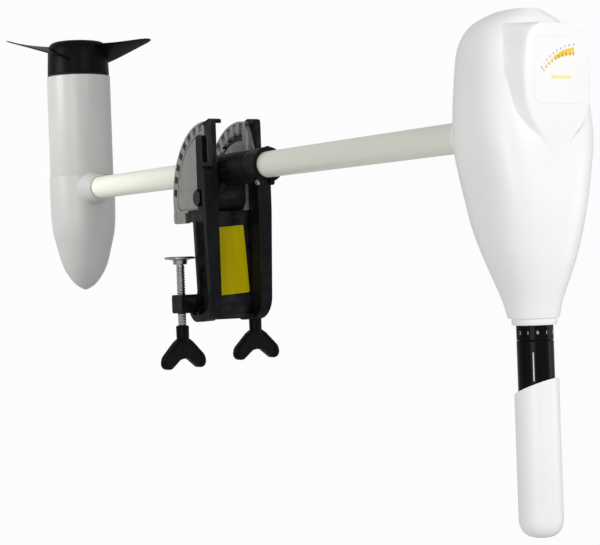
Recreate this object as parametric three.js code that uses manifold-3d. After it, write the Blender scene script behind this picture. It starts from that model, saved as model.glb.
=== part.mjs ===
// Electric outboard motor for a small boat: transom clamp, tilt bracket, shaft, motor pod, head and tiller.
// Millimetres. +X points forward into the boat, +Y to port and +Z up along the upright shaft.
// The origin is on the underside of the clamp bridge, where the top edge of the boat's transom carries it.
import * as THREE from 'three';
import { mergeVertices } from 'three/addons/utils/BufferGeometryUtils.js';
import Module from 'manifold-3d';

const wasm = await Module();
wasm.setup();

// Fits
const gap = 0.3;
const runningGap = 0.6;
const overrun = 6;
const edgeBevel = 1;
const boltTail = 2;

// Shaft
const shaftDiameter = 28.6;
const shaftWall = 3.2;
const shaftTop = 538.7;
const cableDiameter = 9;
const cableBelow = 5;
const cableAbove = 10;

// Where the tilt pivot, the shaft and the pod lie
const pivotAft = 68;
const pivotHeight = 21;
const pivotToShaft = 31;
const podDrop = 400;

// Clamp walls
const wallInside = 25.3;
const wallWeb = 6;
const wallOutside = 42;
const wallFlange = 8;
const wallTop = 52;
const wallBottom = 11.5;
const wallFront = 74;
const wallFrontLean = 4;
const wallDraft = 0.084;
const wallTaper = 0.032;
const wallAft = -103;
const legAft = 41;
const legBottom = -21;
const wallCorner = 4;
const wallFrontCorner = 25;
const wallAftCorner = 10;
const pocketCorner = 18;
const pocketAftTop = 33;
const tabLength = 14;
const tabBottom = -14;
const armBottom = 11.5;
const armSetback = 16;
const armTopSetback = 2.5;
const windowFront = -107;
const windowBottom = 27.5;
const windowTop = 43;
const lipThickness = 4;
const lipCover = 5;
const lipInside = 18;
const lipFootSetback = 7.5;
const lipHeadReach = 3.5;
const lipStart = THREE.MathUtils.degToRad(85);
const lipEnd = THREE.MathUtils.degToRad(109.5);
const lugOutside = 53;
const lugHeight = 26;
const lugLength = 21;
const lugCorner = 3;
const lugSink = 1;

// Clamp bridge and its plain label
const bridgeAft = -52.4;
const bridgeFront = 70;
const bridgeHeight = 25;
const bridgeLip = 5;
const bridgeRib = 12;
const bridgeSkin = 5;
const labelLength = 77;
const labelWidth = 40;
const labelThickness = 0.8;
const labelAft = -35;
const labelShift = 1.5;
const labelSkew = 0.07;
const labelCorner = 2;
const bridgeBoltDiameter = 6;
const bridgeBoltAft = 12;
const bridgeBoltHeadSize = 10.2;
const bridgeBoltHeadHeight = 4.2;

// Toothed quadrants
const quadrantInside = 19;
const quadrantThickness = 6;
const quadrantSkin = 2;
const quadrantRim = 6.5;
const quadrantTop = 48;
const quadrantShoulder = 38;
const quadrantTopAft = -123;
const quadrantTopFront = -105;
const quadrantShoulderAft = -98;
const quadrantFront = -53;
const quadrantCorner = 4;
const quadrantStart = THREE.MathUtils.degToRad(-8);
const quadrantEnd = THREE.MathUtils.degToRad(100);
const footFront = -41;
const footTop = -35;
const footBottom = -65.5;
const notchCount = 9;
const notchRadius = 80;
const notchDepth = 8.5;
const notchWidth = 8;
const firstNotch = THREE.MathUtils.degToRad(6.6);
const notchStep = THREE.MathUtils.degToRad(10.9);
const trackWidth = 8.2;
const pinTravel = 12;
const pinDiameter = 7;

// Pivot bolt
const pivotBoltDiameter = 10;
const boltHeadSize = 17;
const boltHeadHeight = 6;
const nutHeight = 8;

// Tilt yoke and swivel sleeve
const yokeWidth = 18.4;
const sleeveWall = 2.2;
const sleeveTop = 105;
const sleeveBottom = -46;
const earReach = 14;
const guideReach = 84;
const guideAft = 9;
const guideFront = 8;
const flankBeyond = 4;
const flankWidth = 22;
const tabRoomWidth = 18;
const tabRoomTop = 7;
const tabLengthBelow = 34;
const tabWidth = 16;
const tabThickness = 4;
const tabSleeveDiameter = 12;
const bushLength = 30;
const bushBelowScrew = 10;
const tensionHeight = 86;
const tensionAngle = THREE.MathUtils.degToRad(33);
const tensionKnobDiameter = 17;
const tensionKnobLength = 12;
const tensionScrewDiameter = 6;
const tensionScrewReach = 8;
const tensionKnobCone = 2.5;

// Depth collar
const collarDiameter = 38.6;
const collarHeight = 20;
const collarLugReach = 22.5;
const collarLugWidth = 14;
const collarSplit = 3;
const collarScrewDiameter = 4;
const collarScrewHead = 6.8;
const collarScrewHeadHeight = 2.7;

// Clamp screws
const screwSpacing = 94;
const screwDiameter = 10;
const screwHeight = -7;
const padDiameter = 36;
const padThickness = 4;
const padRim = 2;
const padRimSide = 1.5;
const screwNeckStep = 1;
const padHubDiameter = 17;
const padHubLength = 5;
const starboardPad = -2.5;
const portPadOffset = -6;
const screwLength = 86.5;
const handleStemDiameter = 14.8;
const handleStemLength = 15;
const stemBeyond = 3;
const handleSpan = 66;
const handleThickness = 10;
const starboardHandleTurn = THREE.MathUtils.degToRad(-19);
const portHandleTurn = THREE.MathUtils.degToRad(-13);

// Motor pod
const podDiameter = 84;
const podWall = 3;
const noseDiameter = 86;
const noseWall = 3.5;
const tubeAft = -151.3;
const seam = -18;
const noseTip = 134;
const noseRoomShare = 0.93;
const socketSkin = 4;
const bossDiameter = 35;
const bossTop = 65;
const socketFloor = 24;
const bulkheadAft = 20;
const bulkheadLength = 8;
const bearingDiameter = 26;
const capHubDiameter = 34;
const capHubAft = 9;
const capPlate = 3;
const capPlugLength = 8;
const capPlugWall = 6;
const capSeatLength = 7;
const bearingLength = 8;
const axleDiameter = 10;
const axleAft = -197;
const axleFront = 30;
const drivePinDiameter = 4;
const drivePinLength = 24;
const drivePinAft = 10.5;
const magnetThickness = 8.5;
const magnetLength = 72;
const magnetAft = -130;
const magnetSpread = THREE.MathUtils.degToRad(58);
const airGap = 2.9;
const armatureLength = 60;
const armatureAft = -124;
const armatureSlots = 8;
const armatureSlotWidth = 2.4;
const armatureSlotDepth = 8;
const commutatorDiameter = 27;
const commutatorLength = 16;
const commutatorAft = -60;
const brushPlateAft = -43;
const brushPlateThickness = 3;
const brushSize = 8;
const brushLength = 13;
const brushPlateBore = 31;
const holderWall = 2;
const holderReach = 3;
const holderFront = 1;
const cablePassDepth = 16;
const tieBoltDiameter = 4;
const tieBoltOffset = 31;
const tieBoltHead = 6.4;
const tieBoltHeadHeight = 2.7;

// Propeller
const hubAft = -198;
const hubFront = -155;
const hubDiameter = 82;
const hubWall = 4;
const hubCoreDiameter = 28;
const hubPocket = 12;
const hubWeb = 7;
const hubCoreSetback = 8;
const pinSlotDepth = 13;
const pinSlotSkin = 6;
const propellerRadius = 108;
const bladeCount = 3;
const bladeStart = THREE.MathUtils.degToRad(50);
const bladeThickness = 4;
const bladeChord = 54;
const bladeRootPitch = THREE.MathUtils.degToRad(24);
const bladeTipPitch = THREE.MathUtils.degToRad(11);
const bladeMiddle = -181;
const bladeRake = -13;
const nutSize = 17;
const nutLength = 8;
const washerThickness = 1.2;

// Head
const headAft = -102;
const headFront = 163;
const headWidth = 114;
const headCrown = 98;
const headRise = 49.3;
const headWall = 3.2;
const partingDrop = 25;
const neckReach = 86;
const neckTipDiameter = 36;
const neckRootDiameter = 48;
const neckLip = 2;
const platformHeight = 52;
const platformRise = 20;
const platformRoot = 24;
const platformDraft = 8;
const platformAftDraft = 1.5;
const platformEdge = 1.5;
const platformAft = -85.5;
const platformFront = 16;
const platformWidth = 67;
const membraneSetback = 12;
const membraneLength = 56;
const membraneWidth = 50;
const membraneThickness = 0.6;
const membraneCorner = 7;
const boardMargin = 8;
const coverSkin = 5;
const boardThickness = 1.6;
const glandDiameter = 18;
const glandNeckDiameter = 12;
const glandBore = 6.8;
const glandDrop = 14;
const glandCone = 3;
const glandRise = 8;
const glandAft = -70;

// Tiller
const tillerRise = 7;
const ringDiameter = 39.4;
const ringLength = 6;
const throttleDiameter = 32;
const throttleWall = 2.6;
const dialLength = 13;
const throttleFront = 335;
const stubDiameter = 25.6;
const stubWall = 3;
const stubShoulder = 4;
const innerTubeDiameter = 25.6;
const innerTubeWall = 2;
const innerTubeSpare = 2.7;
const gripDiameter = 38.8;
const gripAft = 220;
const gripFront = 352;
const gripSkin = 7;
const gripRoom = 2;
const gripSpare = 14;
const gripShift = 2;
const gripSlant = 0.39;
const gripSlantTurn = THREE.MathUtils.degToRad(25);
const switchDiameter = 35;
const switchNeckDiameter = 22;
const switchDepth = 30;
const switchBodyDepth = 20;
const switchRoom = 2;
const switchPinDiameter = 8;
const switchPinReach = 4;

// Facets
const roundSides = 24;
const headSides = 20;
const smallSides = 14;
const fineSides = 8;
const cornerSteps = 2;
const arcSteps = 27;
const weldDistance = 1e-4;

// Places worked out from the sizes above
const pivot = new THREE.Vector3(-pivotAft, 0, pivotHeight);
const shaftX = -pivotAft - pivotToShaft;
const membraneAft = platformAft + membraneSetback;
const shaftRadius = shaftDiameter / 2;
const podRadius = podDiameter / 2;
const magnetOutside = podRadius - podWall - runningGap;
const magnetInside = magnetOutside - magnetThickness;
const armatureRadius = magnetInside - airGap;
const noseRadius = noseDiameter / 2;
const headMiddle = shaftTop + headRise;
const partingHeight = headMiddle - partingDrop;
const neckBottom = headMiddle - neckReach;
const platformTop = headMiddle + platformHeight;
const tillerHeight = headMiddle + tillerRise;
const innerTubeFront = gripFront - gripSkin;
const upperBushTop = tensionHeight - bushBelowScrew;
const quadrantRadius = notchRadius + quadrantRim;
const quadrantAft = pivot.x - quadrantRadius;
const armAft = quadrantAft + armSetback;
const armTopAft = quadrantAft + armTopSetback;
const lipFootAft = quadrantAft + lipFootSetback;
const lipHeadAft = quadrantAft - lipHeadReach;
const throttleShoulder = headFront + ringLength + dialLength + gap;
const throttleStep = throttleShoulder + stubShoulder;

// Finishes
function finish(color, roughness, metalness) {
  return new THREE.MeshStandardMaterial({ color, roughness, metalness });
}
const blackCasting = finish(0x141416, 0.5, 0.1);
const blackPlastic = finish(0x111113, 0.35, 0);
const castAluminium = finish(0x9a9b98, 0.5, 0.7);
const steel = finish(0xb9b8b2, 0.3, 1);
const blackenedSteel = finish(0x1d1d1f, 0.45, 0.7);
const whitePlastic = finish(0xf1f2f1, 0.3, 0);
const creamComposite = finish(0xdfe0d2, 0.35, 0);
const greyPaint = finish(0xc4c5c2, 0.3, 0.1);
const yellowFilm = finish(0xb3a200, 0.5, 0);
const nylon = finish(0xe8e6dc, 0.5, 0);
const rubber = finish(0x1b1b1b, 0.8, 0);
const copper = finish(0xb87333, 0.35, 1);
const laminatedSteel = finish(0x6f7072, 0.5, 0.9);
const ferrite = finish(0x3a3a3d, 0.7, 0.1);
const carbon = finish(0x2a2a2a, 0.6, 0);
const greenBoard = finish(0x1f6b3a, 0.5, 0);

// Solids are joined and cut as closed meshes
function toSolid(geometry) {
  const bare = new THREE.BufferGeometry();
  bare.setAttribute('position', geometry.getAttribute('position').clone());
  if (geometry.index) {
    bare.setIndex(geometry.index.clone());
  }
  const merged = mergeVertices(bare, weldDistance);
  const vertProperties = new Float32Array(merged.getAttribute('position').array);
  const corners = [];
  for (let start = 0; start < merged.index.count; start += 3) {
    const [a, b, c] = merged.index.array.slice(start, start + 3);
    if (a !== b && b !== c && c !== a) {
      corners.push(a, b, c);
    }
  }
  const triVerts = new Uint32Array(corners);
  return new wasm.Manifold(new wasm.Mesh({ numProp: 3, vertProperties, triVerts }));
}

function toGeometry(solid) {
  const mesh = solid.getMesh();
  const geometry = new THREE.BufferGeometry();
  geometry.setAttribute('position', new THREE.BufferAttribute(new Float32Array(mesh.vertProperties), 3));
  geometry.setIndex(new THREE.BufferAttribute(new Uint32Array(mesh.triVerts), 1));
  geometry.computeVertexNormals();
  return geometry;
}

function join(...geometries) {
  return toGeometry(geometries.map(toSolid).reduce((sum, next) => sum.add(next)));
}

function cut(geometry, ...tools) {
  return toGeometry(tools.map(toSolid).reduce((left, tool) => left.subtract(tool), toSolid(geometry)));
}

function keep(geometry, region) {
  return toGeometry(toSolid(geometry).intersect(toSolid(region)));
}

// Basic shapes
function box(x0, x1, y0, y1, z0, z1) {
  const geometry = new THREE.BoxGeometry(x1 - x0, y1 - y0, z1 - z0);
  return geometry.translate((x0 + x1) / 2, (y0 + y1) / 2, (z0 + z1) / 2);
}

// A profile of [radius, distance] pairs turned about one of the axes
function turned(profile, axis, sides = roundSides) {
  const points = profile.map(([radius, along]) => new THREE.Vector2(radius, along));
  const geometry = new THREE.LatheGeometry(points, sides);
  if (axis === 'z') {
    geometry.rotateX(Math.PI / 2);
  }
  if (axis === 'x') {
    geometry.rotateZ(-Math.PI / 2);
  }
  return geometry;
}

function rod(radius, from, to, axis, sides = smallSides) {
  return turned([[0, from], [radius, from], [radius, to], [0, to]], axis, sides);
}

function pipe(outer, inner, from, to, axis, sides = roundSides) {
  const profile = [[inner, from], [outer, from], [outer, to], [inner, to], [inner, from]];
  return turned(profile, axis, sides);
}

// An outline of [a, b, corner radius] points
function outline(corners) {
  const shape = new THREE.Shape();
  const count = corners.length;
  corners.forEach(([a, b, radius = 0], index) => {
    const here = new THREE.Vector2(a, b);
    const before = new THREE.Vector2(...corners[(index + count - 1) % count]);
    const after = new THREE.Vector2(...corners[(index + 1) % count]);
    const start = here.clone().add(before.sub(here).setLength(radius));
    const end = here.clone().add(after.sub(here).setLength(radius));
    if (index === 0) {
      shape.moveTo(start.x, start.y);
    } else {
      shape.lineTo(start.x, start.y);
    }
    if (radius > 0) {
      shape.quadraticCurveTo(here.x, here.y, end.x, end.y);
    }
  });
  shape.closePath();
  return shape;
}

function extruded(shape, depth, curveSegments = cornerSteps) {
  return new THREE.ExtrudeGeometry(shape, { depth, bevelEnabled: false, curveSegments });
}

// A plate whose outline lies in X and Z, between two places along Y
function plateXZ(shape, y0, y1, curveSegments) {
  return extruded(shape, y1 - y0, curveSegments).rotateX(Math.PI / 2).translate(0, y1, 0);
}

function plateXY(shape, z0, z1, curveSegments) {
  return extruded(shape, z1 - z0, curveSegments).translate(0, 0, z0);
}

// A plate whose outline lies in Y and Z, between two places along X
function plateYZ(shape, x0, x1, curveSegments) {
  const standing = extruded(shape, x1 - x0, curveSegments).rotateX(Math.PI / 2);
  return standing.rotateZ(Math.PI / 2).translate(x0, 0, 0);
}

function hexagon(acrossFlats) {
  const corner = acrossFlats / Math.sqrt(3);
  const points = [];
  for (let side = 0; side < 6; side += 1) {
    const angle = (side * Math.PI) / 3;
    points.push(new THREE.Vector2(corner * Math.cos(angle), corner * Math.sin(angle)));
  }
  return new THREE.Shape(points);
}

// Rings of points, each counterclockwise seen from the last ring's end, skinned into a closed body
function skinned(rings) {
  const count = rings[0].length;
  const positions = rings.flat().flatMap((point) => [point.x, point.y, point.z]);
  const index = [];
  for (let ring = 0; ring < rings.length - 1; ring += 1) {
    for (let side = 0; side < count; side += 1) {
      const next = (side + 1) % count;
      const a = ring * count + side;
      const b = ring * count + next;
      const c = a + count;
      const d = b + count;
      index.push(a, b, c, b, d, c);
    }
  }
  const last = (rings.length - 1) * count;
  for (let side = 1; side < count - 1; side += 1) {
    index.push(0, side + 1, side);
    index.push(last, last + side, last + side + 1);
  }
  const geometry = new THREE.BufferGeometry();
  geometry.setAttribute('position', new THREE.BufferAttribute(new Float32Array(positions), 3));
  geometry.setIndex(index);
  return geometry;
}

const motor = new THREE.Group();

// A named piece in a frame of the assembly
function addPiece(frame, name, geometry, material) {
  const mesh = new THREE.Mesh(geometry, material);
  mesh.name = name;
  frame.add(mesh);
  return mesh;
}

function frameAt(x, y, z) {
  const frame = new THREE.Group();
  frame.position.set(x, y, z);
  motor.add(frame);
  return frame;
}

function mirrored(geometry) {
  const flipped = geometry.clone().scale(1, -1, 1);
  const index = Array.from(flipped.index.array);
  for (let start = 0; start < index.length; start += 3) {
    [index[start], index[start + 1]] = [index[start + 1], index[start]];
  }
  flipped.setIndex(index);
  return flipped;
}

const seatFrame = frameAt(0, 0, 0);
const pivotFrame = frameAt(pivot.x, 0, pivot.z);
const shaftFrame = frameAt(shaftX, 0, 0);
const podFrame = frameAt(shaftX, 0, -podDrop);
const tillerFrame = frameAt(shaftX, 0, tillerHeight);

// Clamp walls: a flanged web with a front leg, a lug for the clamp screw and an arm that ends in the stop lip
function clampWall() {
  const front = [
    [wallAft, wallTop, wallAftCorner],
    [wallAft, armBottom, wallAftCorner],
    [footFront - tabLength, armBottom, 0],
    [footFront - tabLength, tabBottom, 0],
    [footFront - gap, tabBottom, 0],
    [footFront - gap, wallBottom, 0],
    [legAft, wallBottom, wallCorner],
    [legAft, legBottom, wallCorner],
    [wallFront, legBottom, wallFrontCorner],
    [wallFront - wallFrontLean, wallTop, wallFrontCorner],
  ];
  const block = plateXZ(outline(front.reverse()), wallInside, wallOutside);
  const pocketOutline = outline([
    [wallFront - wallFrontLean - wallFlange, wallTop - wallFlange, pocketCorner],
    [wallFront - wallFlange, legBottom + wallFlange, wallAftCorner],
    [legAft + wallFlange, legBottom + wallFlange, wallCorner],
    [legAft + wallFlange, wallBottom + wallFlange, wallCorner],
    [footFront, wallBottom + wallFlange, 0],
    [footFront, tabBottom - overrun, 0],
    [wallAft - overrun, tabBottom - overrun, 0],
    [wallAft - overrun, pocketAftTop, 0],
  ].reverse());
  const pocket = plateXZ(pocketOutline, wallInside + wallWeb, wallOutside + overrun);
  const arm = plateXZ(outline([
    [wallAft + overrun, wallTop, 0],
    [armTopAft, wallTop, 0],
    [armTopAft, windowTop, 0],
    [windowFront, windowTop, wallCorner],
    [windowFront, windowBottom, wallCorner],
    [armAft, windowBottom, wallCorner],
    [armAft, armBottom, wallCorner],
    [wallAft + overrun, armBottom, 0],
  ]), wallInside, wallInside + wallWeb);
  const lug = plateXZ(outline([
    [legAft, screwHeight + lugHeight / 2, lugCorner],
    [legAft + lugLength, screwHeight + lugHeight / 2, lugCorner],
    [legAft + lugLength, screwHeight - lugHeight / 2, lugCorner],
    [legAft, screwHeight - lugHeight / 2, lugCorner],
  ]), wallInside + wallWeb - lugSink, lugOutside);
  const screwBore = rod(screwDiameter / 2 + gap, legAft - overrun, wallFront + overrun, 'x')
    .translate(0, screwSpacing / 2, screwHeight);
  const stemRoom = rod(handleStemDiameter / 2 + runningGap, legAft + lugLength, wallFront + overrun, 'x')
    .translate(0, screwSpacing / 2, screwHeight);
  const pivotBore = rod(pivotBoltDiameter / 2 + gap, 0, wallOutside + overrun, 'y')
    .translate(pivot.x, 0, pivot.z);
  const bridgeBore = rod(bridgeBoltDiameter / 2 + gap, 0, wallOutside + overrun, 'y')
    .translate(bridgeFront - bridgeBoltAft, 0, bridgeHeight / 2);
  const body = cut(block, pocket, draftedSide());
  return cut(join(body, arm, stopLip(), lug), screwBore, stemRoom, pivotBore, bridgeBore);
}

// The room outside the wall's drafted and tapered outer face
function draftedSide() {
  const far = wallOutside + 4 * overrun;
  const place = (x, z) => wallOutside - wallTaper * (x - quadrantFront) + wallDraft * (z - wallTop);
  const ring = (x) => [
    new THREE.Vector3(x, place(x, legBottom - overrun), legBottom - overrun),
    new THREE.Vector3(x, far, legBottom - overrun),
    new THREE.Vector3(x, far, wallTop + overrun),
    new THREE.Vector3(x, place(x, wallTop + overrun), wallTop + overrun),
  ];
  return skinned([ring(wallAft - overrun), ring(wallFront + overrun)]);
}

// The lip at the arm's end: it follows the quadrant's rim, covers the rim's outer side and is bevelled below
function stopLip() {
  const inner = quadrantRadius + runningGap;
  const outer = inner + lipThickness;
  const cover = inner - lipCover;
  const bevel = plateXZ(outline([
    [lipFootAft, armBottom - overrun],
    [lipHeadAft, windowTop],
    [lipHeadAft - 2 * overrun, windowTop],
    [lipHeadAft - 2 * overrun, armBottom - overrun],
  ]), 0, wallOutside);
  return cut(join(
    arcBand((inner + outer) / 2, lipThickness, lipStart, lipEnd, lipInside, wallInside + wallWeb),
    arcBand((cover + outer) / 2, outer - cover, lipStart, lipEnd, wallInside, wallInside + wallWeb),
  ), bevel);
}

// Clamp bridge: the tray between the walls, carried on the transom by its middle rib
function clampBridge() {
  const tray = box(bridgeAft, bridgeFront, -wallInside, wallInside, 0, bridgeHeight);
  const lip = box(bridgeFront - bridgeLip, bridgeFront, -wallInside, wallInside, 0, bridgeHeight + bridgeLip);
  const pockets = [-1, 1].map((side) => {
    const inner = (side * bridgeRib) / 2;
    const outer = side * (wallInside - bridgeSkin);
    return box(
      bridgeAft + bridgeSkin, bridgeFront - 2 * wallFlange - bridgeSkin,
      Math.min(inner, outer), Math.max(inner, outer), -overrun, bridgeHeight - bridgeSkin,
    );
  });
  const bore = rod(bridgeBoltDiameter / 2 + gap, -wallOutside, wallOutside, 'y')
    .translate(bridgeFront - bridgeBoltAft, 0, bridgeHeight / 2);
  return cut(join(tray, lip), ...pockets, bore);
}

function bridgeLabel() {
  const label = plateXY(outline([
    [-labelLength / 2, -labelWidth / 2, labelCorner],
    [labelLength / 2, -labelWidth / 2, labelCorner],
    [labelLength / 2, labelWidth / 2, labelCorner],
    [-labelLength / 2, labelWidth / 2, labelCorner],
  ]), 0, labelThickness);
  return label.rotateZ(labelSkew).translate(labelAft + labelLength / 2, labelShift, bridgeHeight);
}

// A bolt along Y with a hexagon head at its starboard end
function crossBolt(diameter, headSize, headHeight, reach) {
  const shank = rod(diameter / 2, -reach, reach + headHeight + boltTail, 'y');
  const head = plateXZ(hexagon(headSize), -reach - headHeight, -reach);
  return join(shank, head);
}

// Toothed quadrant: notches for the lock pin, a blind track inside them and a shallow panel outside
function quadrant() {
  const arc = [];
  for (let step = 0; step <= arcSteps; step += 1) {
    const angle = quadrantStart + ((quadrantEnd - quadrantStart) * step) / arcSteps;
    arc.push([
      pivot.x - quadrantRadius * Math.sin(angle),
      pivot.z - quadrantRadius * Math.cos(angle),
    ]);
  }
  const corners = [
    ...arc,
    [quadrantTopAft, quadrantTop, quadrantCorner],
    [quadrantTopFront, quadrantTop, quadrantCorner],
    [quadrantShoulderAft, quadrantShoulder, quadrantCorner],
    [quadrantFront, quadrantShoulder, quadrantCorner],
    [quadrantFront, footTop, 0],
    [footFront, footTop, 0],
    [footFront, footBottom, quadrantCorner],
    [quadrantFront, footBottom, 0],
  ];
  const outside = quadrantInside + quadrantThickness;
  const plate = plateXZ(outline(corners.reverse()), quadrantInside, outside);
  const tools = [];
  for (let notch = 0; notch < notchCount; notch += 1) {
    const slot = box(
      -notchWidth / 2, notchWidth / 2, quadrantInside - overrun, outside + overrun,
      -notchRadius - notchDepth / 2, -notchRadius + notchDepth / 2,
    );
    slot.rotateY(firstNotch + notch * notchStep).translate(pivot.x, 0, pivot.z);
    tools.push(slot);
    const link = box(
      -notchWidth / 2, notchWidth / 2, quadrantInside - overrun, outside - quadrantSkin,
      -notchRadius, -notchRadius + pinTravel,
    );
    link.rotateY(firstNotch + notch * notchStep).translate(pivot.x, 0, pivot.z);
    tools.push(link);
  }
  const trackRadius = notchRadius - pinTravel;
  const trackStart = firstNotch - notchWidth / 2 / trackRadius;
  const trackEnd = firstNotch + (notchCount - 1) * notchStep + notchWidth / 2 / trackRadius;
  const floor = outside - quadrantSkin;
  tools.push(arcBand(trackRadius, trackWidth, trackStart, trackEnd, quadrantInside - overrun, floor));
  const pivotBore = rod(pivotBoltDiameter / 2 + gap, 0, outside + overrun, 'y').translate(pivot.x, 0, pivot.z);
  const shoulder = box(
    quadrantTopAft - quadrantRadius, quadrantFront + overrun, quadrantInside - overrun, outside - quadrantSkin,
    quadrantShoulder, quadrantTop + overrun,
  );
  tools.push(pivotBore, shoulder);
  return cut(plate, ...tools);
}

// A band along an arc about the pivot, its angles counted from straight down towards aft
function arcBand(radius, width, start, end, y0, y1) {
  const shape = new THREE.Shape();
  const from = -Math.PI / 2 - start;
  const to = -Math.PI / 2 - end;
  shape.absarc(pivot.x, pivot.z, radius + width / 2, from, to, true);
  shape.absarc(pivot.x, pivot.z, radius - width / 2, to, from, false);
  shape.closePath();
  return plateXZ(shape, y0, y1, smallSides);
}

// Tilt yoke: ears on the pivot bolt, the swivel sleeve round the shaft and the guide for the lock pin
function tiltYoke() {
  const bushRadius = yokeWidth - sleeveWall;
  const sleeve = rod(yokeWidth, sleeveBottom, sleeveTop, 'z', roundSides).translate(-pivotToShaft, 0, -pivot.z);
  const ears = plateXZ(outline([
    [-pivotToShaft, -earReach, 0],
    [0, -earReach, 0],
    [earReach, -earReach, earReach],
    [earReach, earReach, earReach],
    [0, earReach, 0],
    [-pivotToShaft, earReach, 0],
  ]), -yokeWidth, yokeWidth);
  const guide = box(-guideAft, guideFront, -yokeWidth, yokeWidth, -guideReach, -earReach / 2).rotateY(firstNotch);
  const flank = box(
    -pivotToShaft, -pivotToShaft + yokeWidth + flankBeyond, -flankWidth / 2, flankWidth / 2,
    sleeveBottom - pivot.z, -earReach,
  );
  const slot = box(
    -pinDiameter / 2 - gap, pinDiameter / 2 + gap, -yokeWidth - overrun, yokeWidth + overrun,
    -notchRadius - pinDiameter / 2 - gap, -notchRadius + pinTravel + pinDiameter / 2 + gap,
  ).rotateY(firstNotch);
  const tabRoom = box(
    -guideAft - overrun, guideFront + overrun, -tabRoomWidth / 2, tabRoomWidth / 2,
    -guideReach - overrun, -notchRadius + pinTravel + tabRoomTop,
  ).rotateY(firstNotch);
  const bore = rod(bushRadius, sleeveBottom - overrun, sleeveTop + overrun, 'z', roundSides)
    .translate(-pivotToShaft, 0, -pivot.z);
  const pivotBore = rod(pivotBoltDiameter / 2 + gap, -yokeWidth - overrun, yokeWidth + overrun, 'y');
  const screwBore = rod(tensionScrewDiameter / 2 + gap, 0, 2 * yokeWidth, 'y')
    .rotateZ(tensionAngle).translate(-pivotToShaft, 0, tensionHeight - pivot.z);
  return cut(join(sleeve, ears, guide, flank), bore, slot, tabRoom, pivotBore, screwBore);
}

function lockPin() {
  const rest = -notchRadius + pinTravel;
  const reach = quadrantInside + quadrantThickness - quadrantSkin - gap;
  return rod(pinDiameter / 2, -reach, reach, 'y').translate(0, 0, rest).rotateY(firstNotch);
}

// The finger tab on the lock pin
function lockTab() {
  const rest = -notchRadius + pinTravel;
  const half = tabWidth / 2;
  const sleeve = rod(tabSleeveDiameter / 2, -half, half, 'y').translate(0, 0, rest);
  const tab = box(-tabThickness / 2, tabThickness / 2, -half, half, rest - tabLengthBelow, rest);
  const bore = rod(pinDiameter / 2 + gap, -half - overrun, half + overrun, 'y').translate(0, 0, rest);
  return cut(join(sleeve, tab), bore).rotateY(firstNotch);
}

// Clamp screw pieces, along X from the pad's aft face
function clampPad(face) {
  const profile = [
    [0, face],
    [padDiameter / 2 - padRim, face],
    [padDiameter / 2, face + padRimSide],
    [padDiameter / 2, face + padThickness - padRimSide],
    [padHubDiameter / 2, face + padThickness],
    [padHubDiameter / 2 - edgeBevel, face + padThickness + padHubLength],
    [screwDiameter / 2 - screwNeckStep, face + padThickness + padHubLength],
    [screwDiameter / 2 - screwNeckStep, face + padThickness],
    [0, face + padThickness],
  ];
  return turned(profile, 'x', roundSides);
}

function clampScrew(face) {
  const start = face + padThickness + gap;
  const shankRadius = screwDiameter / 2;
  const neckRadius = shankRadius - screwNeckStep - gap;
  const neckEnd = face + padThickness + padHubLength + gap;
  const end = face + padThickness + screwLength;
  const profile = [
    [0, start], [neckRadius, start], [neckRadius, neckEnd], [shankRadius, neckEnd], [shankRadius, end], [0, end],
  ];
  return turned(profile, 'x', smallSides);
}

// Half of the handle's outline as shares of its span: [reach, half width, corner radius]
const handleOutlineShares = [
  [0, 0.11, 0], [0.06, 0.2, 0.03], [0.31, 0.48, 0.1], [0.515, 0.5, 0.1], [0.515, 0.27, 0.1], [0.32, 0, 0.02],
];

function clampHandle(face, turn) {
  const screwEnd = face + padThickness + screwLength;
  const stemStart = screwEnd - handleStemLength + stemBeyond;
  const stemEnd = stemStart + handleStemLength;
  const stem = rod(handleStemDiameter / 2, stemStart, stemEnd + stemBeyond, 'x');
  const half = handleOutlineShares.map(([reach, wide, radius]) => [
    stemEnd + reach * handleSpan, wide * handleSpan, radius * handleSpan,
  ]);
  const other = half.slice(0, -1).reverse().map(([reach, wide, radius]) => [reach, -wide, radius]);
  const wing = plateXY(outline([...half, ...other].reverse()), -handleThickness / 2, handleThickness / 2);
  const bore = rod(screwDiameter / 2 + gap, stemStart - overrun, screwEnd + gap, 'x');
  return cut(join(stem, wing), bore).rotateX(turn);
}

// Depth collar: a split ring drawn together by one screw, with room for the screw's head beside the lug
function depthCollar() {
  const bottom = sleeveTop + gap;
  const top = bottom + collarHeight;
  const middle = (bottom + top) / 2;
  const side = collarLugWidth / 2;
  const headRoom = collarScrewHead / 2 + gap;
  const ring = rod(collarDiameter / 2, bottom, top, 'z', roundSides);
  const lug = box(0, collarLugReach, -side, side, bottom, top);
  const shaftBore = rod(shaftRadius + gap, bottom - overrun, top + overrun, 'z', roundSides);
  const split = box(0, collarDiameter, -collarSplit / 2, collarSplit / 2, bottom - overrun, top + overrun);
  const bore = rod(collarScrewDiameter / 2 + gap, -collarLugWidth, collarLugWidth, 'y')
    .translate(collarScrewReach(), 0, middle);
  const pocket = box(
    collarScrewReach() - headRoom, collarDiameter, -collarDiameter, -side, middle - headRoom, middle + headRoom,
  );
  return cut(join(ring, lug), shaftBore, split, bore, pocket);
}

function collarScrewReach() {
  return (shaftRadius + gap + collarLugReach) / 2;
}

function collarScrew() {
  const side = collarLugWidth / 2;
  const shank = rod(collarScrewDiameter / 2, -side - gap, side, 'y');
  const head = rod(collarScrewHead / 2, -side - gap - collarScrewHeadHeight, -side - gap, 'y');
  return join(shank, head).translate(collarScrewReach(), 0, sleeveTop + gap + collarHeight / 2);
}

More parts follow.
